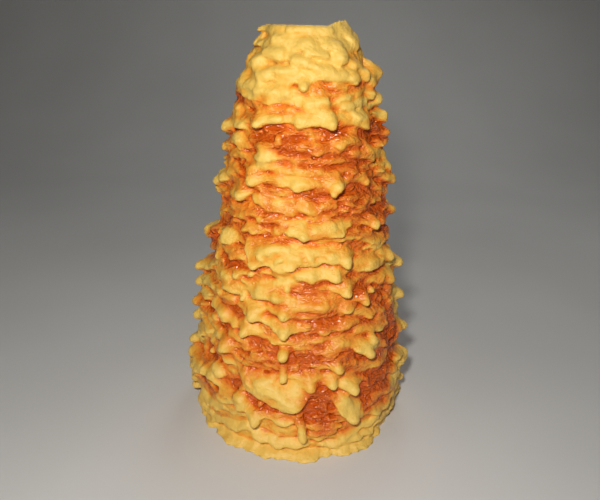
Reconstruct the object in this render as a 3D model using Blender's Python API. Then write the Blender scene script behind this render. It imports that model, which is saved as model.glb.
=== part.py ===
"""Spit cake: a tall, tapering, hollow cake baked in thin layers on a turning spit.

One piece of cake, so one solid. The turned core carries shelf-like ledges of
batter that crest outwards and downwards and end in knobs. The ends are cut
flat, and the tapered hole that the spit leaves runs through from end to end.

Frame: +Z up along the spit axis, origin at the middle of the base, front at -Y.
Angles are measured round +Z from the front, positive towards +X.
Sizes below are in millimetres; the mesh is made in metres.
"""

import math

import bmesh
import bpy
import numpy as np

MM = 0.001

# ---- driving sizes -------------------------------------------------------
CUT_HEIGHT = 400.0        # the flat cut at the narrow end
FLAKE_RISE = 5.5          # a torn flake of crust stands above that cut
FLAKE_ANGLES = (24.0, 68.0)
SPIT_R_BASE = 31.0        # hole left by the tapered spit, at the wide end
SPIT_R_TOP = 23.5         # and at the narrow end
OUTER_R = 123.5           # no knob reaches further out than this

# Core between the ledges: height, radius.
CORE = ((0, 98), (40, 101), (80, 95), (120, 91), (160, 85), (200, 77),
        (240, 69), (280, 63), (320, 58), (350, 54), (372, 52), (390, 44),
        (400, 41))

KNOB_PITCH = 17.0         # along a ledge's lip, from knob to knob
WEB_DIP = 0.24            # how far the lip falls back between two knobs
SLOPE_HEIGHT = 17.0       # from a ledge's lip up to where it leaves the core
UNDERCUT = 3.2            # how steeply the lip turns in below
END_WIDTH = 10.0          # rounded end of a ledge
BLEND = 2.6               # softness where ledges flow into each other
DROOP = 0.22              # how far batter hangs down for each mm it reaches out

# The ledges of the front half: height at the left end, height at the right
# end, left angle, right angle, reach of the knobs beyond the core.
FRONT_LEDGES = (
    (356, 357, -60, 80, 12), (350, 345, -88, -55, 16), (341, 337, -40, -17, 12),
    (345, 340, 12, 80, 12), (317, 316, -42, 21, 17), (322, 316, 29, 64, 15),
    (330, 326, 72, 86, 21), (317, 312, -88, -56, 17), (297, 296, -20, 16, 11),
    (299, 302, 27, 56, 14), (297, 298, -86, -56, 14), (284, 284, -38, -24, 14),
    (287, 270, 48, 88, 18), (266, 263, -41, 34, 15), (263, 258, -88, -66, 20),
    (246, 240, -33, 12, 14), (250, 248, -56, -46, 15), (250, 246, 40, 82, 12),
    (237, 234, -86, -74, 16), (236, 233, 76, 88, 20), (224, 218, -24, 30, 15),
    (222, 219, 50, 62, 15), (215, 213, -88, -68, 19), (205, 202, -62, -54, 18),
    (206, 203, 74, 88, 18), (198, 190, -34, 10, 18), (195, 191, 14, 30, 17),
    (195, 190, 58, 72, 18), (190, 192, -54, -42, 14), (181, 180, -88, -66, 21),
    (182, 178, -22, 22, 15), (184, 182, 40, 86, 17), (170, 154, -66, -35, 15),
    (162, 150, -88, -60, 17), (150, 153, -26, 40, 14), (168, 160, 18, 60, 14),
    (145, 142, 66, 84, 22), (143, 130, -34, 22, 16), (138, 133, 30, 58, 13),
    (127, 122, -88, -38, 19), (125, 120, -22, 30, 12), (108, 107, -86, -38, 16),
    (121, 107, 38, 88, 16), (104, 103, -14, -2, 20), (94, 94, 8, 78, 13),
    (88, 85, 72, 90, 26), (88, 82, -88, -42, 16), (76, 50, -34, 6, 19),
    (75, 64, 16, 36, 18), (60, 58, 44, 84, 17), (60, 50, -88, -44, 24),
    (50, 40, -42, -2, 15), (46, 36, 22, 34, 20),
)
# The back half follows the same habit without such a plan: short ledges in
# tiers, each as long, high and deep as the spread below lets it be.
BACK_TIER_PITCH = 17.5
BACK_ANGLES = (92.0, 268.0)
BACK_LEDGE_SPAN = (24.0, 62.0)
BACK_REACH = (13.0, 20.0)
BACK_SEED = 11

# Low rings near the narrow end, and the broad skirt at the foot:
# height, reach, knobs round the ring.
RINGS = ((388, 5.5, 7), (377, 6.5, 8), (366, 7.0, 9),
         (28, 14.5, 21), (13, 16.0, 19), (2, 18.5, 17))


# ---- the shape as a rule: reach beyond the core at (angle, height) --------
def smooth_max(a, b, k):
    """The larger of two lengths, rounded off where they cross."""
    h = np.maximum(k - np.abs(a - b), 0.0) / k
    return np.maximum(a, b) + h * h * k * 0.25


def core_radius(z):
    return np.interp(z, [p[0] for p in CORE], [p[1] for p in CORE])


def knobs_along(z0, z1, a0, a1, reach, rng):
    """Knobs (angle, height, reach) spaced along a ledge's lip."""
    arc = math.radians(a1 - a0) * (float(core_radius((z0 + z1) / 2)) + reach)
    count = max(2, 1 + round(arc / KNOB_PITCH))
    made = []
    for i in range(count):
        t = i / (count - 1)
        long_one = 1.0 if i % 2 == 0 else 0.82
        made.append((a0 + (a1 - a0) * t + rng.uniform(-1.5, 1.5),
                     z0 + (z1 - z0) * t - 2.5 * (i % 2) + rng.uniform(-1.5, 1.5),
                     reach * long_one * rng.uniform(0.9, 1.08)))
    return made


def lay_ledge(field, angles, z, knobs, slope, closed=False):
    """Adds one ledge to the field: a lip through its knobs, falling back in
    scallops between them, a long slope above it and a short undercut below."""
    ka, kz, kr = (np.array(v) for v in zip(*knobs))
    mid = (ka[0] + ka[-1]) / 2
    turn = (angles - mid + 180.0) % 360.0 - 180.0 + mid
    if closed:
        ka = np.append(ka, ka[0] + 360.0)
        kz, kr = np.append(kz, kz[0]), np.append(kr, kr[0])
        turn = (angles - ka[0]) % 360.0 + ka[0]
    lip_z = np.interp(turn, ka, kz)
    lip_r = np.interp(turn, ka, kr)
    gap = np.clip(np.searchsorted(ka, turn) - 1, 0, len(ka) - 2)
    u = np.clip((turn - ka[gap]) / (ka[gap + 1] - ka[gap]), 0.0, 1.0)
    scallop = (4.0 * u * (1.0 - u)) ** 0.8
    lip_r = lip_r * (1.0 - WEB_DIP * scallop)
    lip_z = lip_z + 2.0 * scallop
    beyond = np.maximum(ka[0] - turn, 0.0) + np.maximum(turn - ka[-1], 0.0)
    if closed:
        beyond = beyond * 0.0
    beyond = np.radians(beyond) * (core_radius(kz.mean()) + 10.0)
    lip_r = lip_r * (1.0 - (beyond / END_WIDTH) ** 2)
    near = np.nonzero(lip_r > -4.0)[0]
    up = z[:, None] - lip_z[None, near]
    over = lip_r[None, near] - up * kr.max() / slope
    under = lip_r[None, near] + UNDERCUT * (up + 1.5)
    shelf = -smooth_max(-over, -under, 3.0)
    field[:, near] = smooth_max(field[:, near], shelf, BLEND)


def reach_field(angles, z):
    """Reach beyond the core, in rows of height and columns of angle."""
    rng = np.random.default_rng(BACK_SEED)
    a, h = np.radians(angles)[None, :], z[:, None]
    field = 0.9 * np.sin(3 * a + h / 9.0) + 0.8 * np.sin(7 * a - h / 5.0 + 1.3)
    for z0, z1, a0, a1, reach in FRONT_LEDGES:
        lay_ledge(field, angles, z, knobs_along(z0, z1, a0, a1, reach, rng),
                  SLOPE_HEIGHT)
    for height, reach, count in RINGS:
        ring = [(360.0 * (i + rng.uniform(-0.25, 0.25)) / count,
                 height + rng.uniform(-1.5, 1.5), reach * rng.uniform(0.8, 1.15))
                for i in range(count)]
        lay_ledge(field, angles, z, ring, 11.0, closed=True)
    tier = 40.0
    while tier < 358.0:
        start = BACK_ANGLES[0] + rng.uniform(-6.0, 14.0)
        while start < BACK_ANGLES[1] - 8.0:
            span = rng.uniform(*BACK_LEDGE_SPAN)
            end = min(start + span, BACK_ANGLES[1])
            base = tier + rng.uniform(-5.0, 5.0)
            reach = rng.uniform(*BACK_REACH) * (0.8 if tier > 335.0 else 1.0)
            lay_ledge(field, angles, z,
                      knobs_along(base, base + rng.uniform(-6.0, 6.0), start,
                                  end, reach, rng), SLOPE_HEIGHT)
            start = end + rng.uniform(4.0, 12.0)
        tier += BACK_TIER_PITCH
    return np.maximum(field, -3.0)


# ---- modelling ------------------------------------------------------------
def add_object(name, bm, colour=None):
    mesh = bpy.data.meshes.new(name)
    bm.to_mesh(mesh)
    bm.free()
    made = bpy.data.objects.new(name, mesh)
    bpy.context.scene.collection.objects.link(made)
    if colour:
        mat = bpy.data.materials.new(name + "_surface")
        mat.use_nodes = True
        shader = mat.node_tree.nodes["Principled BSDF"]
        shader.inputs["Base Color"].default_value = (*colour, 1.0)
        shader.inputs["Roughness"].default_value = 0.5
        shader.inputs["Metallic"].default_value = 0.0
        mesh.materials.append(mat)
    else:
        made.hide_render = True
        made.display_type = "WIRE"
    return made


def skin_rings(bm, rings):
    """Bridges closed rings of vertices, bottom first, and caps both ends."""
    n = len(rings[0])
    for low, high in zip(rings, rings[1:]):
        for i in range(n):
            j = (i + 1) % n
            bm.faces.new((low[i], low[j], high[j], high[i]))
    for ring, facing_up in ((rings[0], False), (rings[-1], True)):
        centre = bm.verts.new((0.0, 0.0, sum(v.co.z for v in ring) / n))
        for i in range(n):
            j = (i + 1) % n
            bm.faces.new((ring[i], ring[j], centre) if facing_up
                         else (ring[j], ring[i], centre))


def ring_of(bm, radii, angles, heights):
    return [bm.verts.new((r * math.sin(a) * MM, -r * math.cos(a) * MM, h * MM))
            for r, a, h in zip(radii, angles, heights)]


def make_body():
    """The cake with its ledges, longer than it will be at both ends."""
    segments, row_step = 228, 2.0
    angles = np.arange(segments) * 360.0 / segments
    z = np.arange(-4.0, CUT_HEIGHT + 16.0, row_step)
    reach = reach_field(angles, np.maximum(z, 0.5))
    radius = core_radius(z)[:, None] + reach
    # Long knobs round off towards the greatest radius.
    radius = -smooth_max(-radius, -OUTER_R + 0.0 * radius, 3.0)
    height = z[:, None] - DROOP * np.maximum(reach, 0.0)
    bm = bmesh.new()
    turn = np.radians(angles)
    rings = [ring_of(bm, r, turn, h) for r, h in zip(radius, height)]
    skin_rings(bm, rings)
    return add_object("cake", bm, (0.86, 0.52, 0.13))


def make_cut_envelope():
    """What the two cuts leave: flat below, flat above but for a torn flake."""
    segments = 60
    angles = np.radians(np.arange(segments) * 360.0 / segments)
    low, high = FLAKE_ANGLES
    rows = []
    for radius, flake in ((170.0, 1.0), (36.0, 1.0), (31.0, 0.0)):
        rise = []
        for deg in np.degrees(angles):
            t = (deg - low) / (high - low)
            rise.append(CUT_HEIGHT + flake * FLAKE_RISE
                        * (math.sin(math.pi * t) ** 0.6 if 0 < t < 1 else 0.0))
        rows.append((radius, rise))
    bm = bmesh.new()
    rings = [ring_of(bm, [170.0] * segments, angles, [0.0] * segments)]
    rings += [ring_of(bm, [r] * segments, angles, h) for r, h in rows]
    skin_rings(bm, rings)
    return add_object("cut_envelope", bm)


def make_spit():
    """The tapered spit, longer than the cake, that the hole is cut with."""
    bm = bmesh.new()
    taper = (SPIT_R_BASE - SPIT_R_TOP) / CUT_HEIGHT
    bmesh.ops.create_cone(
        bm, cap_ends=True, segments=40,
        radius1=(SPIT_R_BASE + 20.0 * taper) * MM,
        radius2=(SPIT_R_TOP - 30.0 * taper) * MM,
        depth=(CUT_HEIGHT + 50.0) * MM)
    bmesh.ops.translate(bm, verts=bm.verts,
                        vec=(0.0, 0.0, (CUT_HEIGHT + 10.0) / 2 * MM))
    return add_object("spit", bm)


def main():
    for old in list(bpy.data.objects):
        bpy.data.objects.remove(old, do_unlink=True)

    cake = make_body()
    thin = cake.modifiers.new("thin", "DECIMATE")
    thin.ratio = 0.098
    for name, cutter, operation in (("cut_ends", make_cut_envelope(), "INTERSECT"),
                                    ("spit_hole", make_spit(), "DIFFERENCE")):
        cut = cake.modifiers.new(name, "BOOLEAN")
        cut.operation = operation
        cut.object = cutter
        cut.solver = "EXACT"
    cake.data.shade_smooth()


main()
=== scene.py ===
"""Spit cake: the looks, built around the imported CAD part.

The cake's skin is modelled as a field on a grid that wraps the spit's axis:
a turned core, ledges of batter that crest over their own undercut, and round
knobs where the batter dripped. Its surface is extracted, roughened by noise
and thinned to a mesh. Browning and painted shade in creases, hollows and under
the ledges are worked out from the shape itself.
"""
import math

import bpy
import numpy as np
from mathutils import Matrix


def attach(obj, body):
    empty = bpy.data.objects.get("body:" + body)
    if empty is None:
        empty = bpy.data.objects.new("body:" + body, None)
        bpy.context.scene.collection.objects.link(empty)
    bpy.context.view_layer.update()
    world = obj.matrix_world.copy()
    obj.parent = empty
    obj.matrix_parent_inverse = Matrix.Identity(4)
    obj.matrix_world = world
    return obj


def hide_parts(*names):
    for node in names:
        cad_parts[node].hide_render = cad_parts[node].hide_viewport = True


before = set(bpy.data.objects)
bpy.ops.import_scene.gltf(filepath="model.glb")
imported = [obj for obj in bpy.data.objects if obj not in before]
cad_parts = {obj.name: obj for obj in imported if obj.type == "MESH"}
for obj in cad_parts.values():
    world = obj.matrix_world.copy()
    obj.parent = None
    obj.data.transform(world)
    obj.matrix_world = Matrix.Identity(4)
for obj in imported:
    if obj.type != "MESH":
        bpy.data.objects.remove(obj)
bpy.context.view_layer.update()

# ---- sizes, in millimetres, as in the CAD part ------------------------------
MM = 0.001
CUT_HEIGHT = 400.0
FLAKE_RISE = 5.2
FLAKE_ANGLES = (27.0, 69.0)
SPIT_R_BASE = 31.0
SPIT_R_TOP = 23.5
OUTER_R = 124.0
CORE = ((0, 98), (40, 101), (80, 95), (120, 91), (160, 85), (200, 77),
        (240, 69), (280, 63), (320, 58), (350, 54), (372, 52), (390, 44),
        (400, 41))

# ---- the grid ---------------------------------------------------------------
NT = 760                      # steps round the cake
DZ = 1.0                     # step in height
DR = 1.0                     # step outwards near the surface
SINK = 9.0                    # how far inside the core the fine layers begin
OUT = 33.0                    # how far outside it they end
# how far the body between the ledges stands out from the core: (height, reach)
BODY_OUT = ((0, 8.5), (20, 8.5), (60, 7.2), (330, 7.0), (350, 5.6), (362, 2.4),
            (372, 1.0), (388, 1.2), (400, 0.4))
INNER = 7                     # coarse layers from there in to the hole
Z = np.arange(-2.5, CUT_HEIGHT + 10.0, DZ)
A = np.arange(NT) * 360.0 / NT
NR_FINE = int((SINK + OUT) / DR) + 1
NR = INNER + NR_FINE
RHO = -SINK + DR * np.arange(NR_FINE)      # of the fine layers


def core_radius(z):
    return np.interp(z, [p[0] for p in CORE], [p[1] for p in CORE])


def spit_radius(z):
    return SPIT_R_BASE + (SPIT_R_TOP - SPIT_R_BASE) * z / CUT_HEIGHT


def body_out(z):
    return np.interp(z, [p[0] for p in BODY_OUT], [p[1] for p in BODY_OUT])


CORE_Z = core_radius(Z)


# ---- noise --------------------------------------------------------------------
_rng = np.random.default_rng(5)
_GRADS = _rng.normal(size=(256, 3))
_GRADS /= np.linalg.norm(_GRADS, axis=1)[:, None]
_PERM = _rng.permutation(256).astype(np.int64)


def noise(p, seed=0):
    """Gradient noise, about -1 to 1, at points (..., 3)."""
    shape = p.shape[:-1]
    p = p.reshape(-1, 3)
    i = np.floor(p).astype(np.int64)
    f = p - i
    u = f * f * f * (f * (f * 6 - 15) + 10)
    total = np.zeros(len(p))
    for dx in (0, 1):
        hx = _PERM[(i[:, 0] + dx + seed * 17) & 255]
        wx = u[:, 0] if dx else 1 - u[:, 0]
        for dy in (0, 1):
            hy = _PERM[(hx + i[:, 1] + dy) & 255]
            wy = u[:, 1] if dy else 1 - u[:, 1]
            for dz in (0, 1):
                h = _PERM[(hy + i[:, 2] + dz) & 255]
                wz = u[:, 2] if dz else 1 - u[:, 2]
                g = _GRADS[h]
                d = (g[:, 0] * (f[:, 0] - dx) + g[:, 1] * (f[:, 1] - dy)
                     + g[:, 2] * (f[:, 2] - dz))
                total += wx * wy * wz * d
    return (total * 1.7).reshape(shape)


def wrap_points(angles_deg, z, across, up, radius=None):
    """Noise coordinates on the cake's skin: across and up are the sizes, in mm, of a lump."""
    a = np.radians(angles_deg)
    r = core_radius(z) + 8.0 if radius is None else radius
    return np.stack([r * np.cos(a) / across, r * np.sin(a) / across, z / up], -1)


# ---- building the field -------------------------------------------------------
def smin(a, b, k):
    h = np.maximum(k - np.abs(a - b), 0.0) / k
    return np.minimum(a, b) - h * h * k * 0.25


def smax(a, b, k):
    h = np.maximum(k - np.abs(a - b), 0.0) / k
    return np.maximum(a, b) + h * h * k * 0.25


def z_window(low, high):
    j0 = max(0, int((low - Z[0]) / DZ))
    j1 = min(len(Z), int((high - Z[0]) / DZ) + 2)
    return slice(j0, j1)


def angle_window(low, high):
    """Indices round the cake, and their angles unwrapped next to low."""
    i0, i1 = math.floor(low * NT / 360.0), math.ceil(high * NT / 360.0)
    idx = np.arange(i0, i1 + 1)
    return idx % NT, idx * 360.0 / NT


def blend_in(cake, turns, zs, shape, k, tone):
    """Joins a shape to the cake's field, and its tone to the tones already there."""
    field, tones = cake
    at = (turns[:, None], np.arange(zs.start, zs.stop)[None, :], slice(INNER, None))
    old = field[at]
    w = np.clip((old - shape) / k + 0.5, 0.0, 1.0)
    w = w * w * (3.0 - 2.0 * w)
    tones[at] += (tone - tones[at]) * w
    field[at] = smin(old, shape, k)


def eased(values, steps):
    """Rounds the corners of a run of values: two box averages over +-steps."""
    box = np.ones(2 * steps + 1) / (2 * steps + 1)
    for _ in range(2):
        values = np.convolve(np.pad(values, steps, mode="edge"), box, mode="valid")
    return values


def lay_ledge(cake, knobs, slope=16.0, web=0.24, lip=2.2, undercut=0.05, k=2.6,
              end=9.0, bulge=1.2, closed=False, pale=0.0, cover=0.2,
              round_lip=4.6, ripple=1.0, ease=3):
    """One ledge: a lip through its knobs (angle, height, reach), falling back in
    scallops between them, a bulging slope above and an underside that runs in and
    down. Its tone stays 0 over the part of the slope given by cover, and goes to 1 at
    the top of the slope."""
    ka, kz, kr = (np.array(v, float) for v in zip(*knobs))
    if closed:
        ka = np.append(ka, ka[0] + 360.0)
        kz, kr = np.append(kz, kz[0]), np.append(kr, kr[0])
    mean_r = float(core_radius(kz.mean())) + 8.0
    pad = 0.0 if closed else math.degrees(end * 1.7 / mean_r)
    idx, turn = angle_window(ka[0] - pad, ka[-1] + pad)
    gap = np.clip(np.searchsorted(ka, turn) - 1, 0, len(ka) - 2)
    u = np.clip((turn - ka[gap]) / np.maximum(ka[gap + 1] - ka[gap], 1e-6), 0, 1)
    v = 0.5 * u + 0.5 * u * u * (3.0 - 2.0 * u)
    lip_z = kz[gap] + (kz[gap + 1] - kz[gap]) * v
    lip_r = kr[gap] + (kr[gap + 1] - kr[gap]) * v
    scallop = 0.5 - 0.5 * np.cos(2 * np.pi * u)
    width = np.minimum(1.0, np.radians(ka[gap + 1] - ka[gap]) * mean_r / 16.0)
    lip_r = eased(lip_r * (1.0 - web * scallop * width), ease)
    lip_z = eased(lip_z + 1.8 * scallop * width, ease)
    lip_r = lip_r + ripple * 1.1 * noise(wrap_points(turn, lip_z, 15.0, 15.0), 31)
    lip_z = lip_z + ripple * 1.4 * noise(wrap_points(turn, lip_z, 19.0, 19.0), 32)
    beyond = np.radians(np.maximum(ka[0] - turn, 0) + np.maximum(turn - ka[-1], 0)) * mean_r
    lip_r = lip_r * (1.0 - (beyond / end) ** 2) - np.maximum(beyond - end, 0) * 0.5
    # towards each end the lip rises and the slope shortens, so that the end is rounded
    inside = np.radians(np.minimum(turn - ka[0], ka[-1] - turn)) * mean_r
    turned = 0.0 * turn if closed else np.clip((9.0 - inside) / (9.0 + end), 0.0, 1.0) ** 2
    lip_z = lip_z + 0.30 * slope * turned
    slope = (slope * (1.0 - 0.72 * turned))[:, None, None]
    zs = z_window(kz.min() - 12.0, kz.max() + float(slope.max()) * 1.45 + 12.0)
    z = Z[zs][None, :, None]
    rho = RHO[None, None, :]
    lr, lz = lip_r[:, None, None], lip_z[:, None, None]
    full = float(kr.max())
    # slope above the lip
    drop = max(full - float(body_out(kz.mean())) + 2.5, 3.0)
    n = np.hypot(slope, drop)
    s = np.clip((z - lz) / slope, 0.0, 1.0)
    over = ((rho - lr) * slope + (z - lz) * drop) / n - bulge * 4 * s * (1 - s)
    # underside, falling a little towards the core
    under = ((lz - lip) - (lr - rho) * undercut - z) / math.hypot(1.0, undercut)
    shelf = smax(over, under, round_lip)
    rest = max(1.0 - max(cover, 0.0), 0.3) * slope
    tone = np.clip((z - lz - 1.0 - cover * slope) / rest, 0.0, 1.0) - min(cover, 0.0) * 0.8
    # below the lip the tone goes browner: painted shade under the ledge
    tone = tone + 0.9 * np.clip((lz - 1.5 - z) / 4.0, 0, 1) - pale
    blend_in(cake, idx, zs, shelf, k, tone)


def lay_knob(cake, angle, z0, reach, size=3.9, root=6.0, rise=6.0, lean=0.0, start=0.35,
             k=4.0, pale=0.1):
    """A round-tipped finger of batter, from inside the ledge out and down to its tip."""
    rise = float(rise)
    mean_r = float(core_radius(z0)) + reach
    pad = math.degrees((root + 9.0 + abs(lean)) / mean_r)
    idx, turn = angle_window(angle - pad, angle + pad)
    zs = z_window(z0 - size - 8.0, z0 + rise + root + 8.0)
    z = Z[zs][None, :, None]
    rho = RHO[None, None, :]
    a = np.radians(turn - angle)[:, None, None] * (core_radius(z0) + rho)
    p0 = (0.0, start * reach, z0 + rise)
    p1 = (lean, reach - size * 0.6, z0 + 1.5)
    d = [p1[n] - p0[n] for n in range(3)]
    dd = sum(v * v for v in d)
    q = [a - p0[0], rho - p0[1], z - p0[2]]
    t = np.clip((q[0] * d[0] + q[1] * d[1] + q[2] * d[2]) / dd, 0.0, 1.0)
    thick = root + (size - root) * t ** 0.6
    finger = np.sqrt((q[0] - t * d[0]) ** 2 + (q[1] - t * d[1]) ** 2
                     + (q[2] - t * d[2]) ** 2) - thick
    tone = np.clip((z - z0) / 16.0, 0.0, 1.0) - pale
    blend_in(cake, idx, zs, finger, k, tone)


def lay_roll(cake, angle, z0, length, thick, reach, tilt=0.0, k=None, tone=0.0):
    """A soft bolster of batter lying round the cake: its middle, its length and half
    thickness in mm, how far it stands out, and the drop from its left end to its right."""
    k = max(3.0, 1.3 * thick - 1.0) if k is None else k
    mean_r = float(core_radius(z0)) + reach
    half = max(length * 0.5 - thick, 0.0)
    pad = math.degrees((half + thick + 7.0) / mean_r)
    idx, turn = angle_window(angle - pad, angle + pad)
    zs = z_window(z0 - thick - abs(tilt) - 5.0, z0 + thick + abs(tilt) + 5.0)
    z = Z[zs][None, :, None]
    rho = RHO[None, None, :]
    a = np.radians(turn - angle)[:, None, None] * mean_r
    mid = z0 - tilt * np.clip(a / max(length, 1.0), -0.5, 0.5)
    beyond = np.maximum(np.abs(a) - half, 0.0)
    roll = np.sqrt(beyond ** 2 + (z - mid) ** 2 + (0.8 * (rho - reach + thick)) ** 2) - thick
    blend_in(cake, idx, zs, roll, k, tone)


# ---- the ledges of the visible side --------------------------------------------
# Slope height, how much of it stayed pale, then the knobs along the lip: (angle,
# height, reach).
# A knob that reaches KNOB_FROM or more, and clearly further than the lip on both
# sides of it, gets a round finger of its own.
KNOB_FROM = 15.5


def fingers_of(knobs, more=1.6):
    for i, knob in enumerate(knobs):
        beside = [knobs[j][2] for j in (i - 1, i + 1) if 0 <= j < len(knobs)]
        if knob[2] >= KNOB_FROM and knob[2] >= max(beside) + more:
            yield knob


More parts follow.
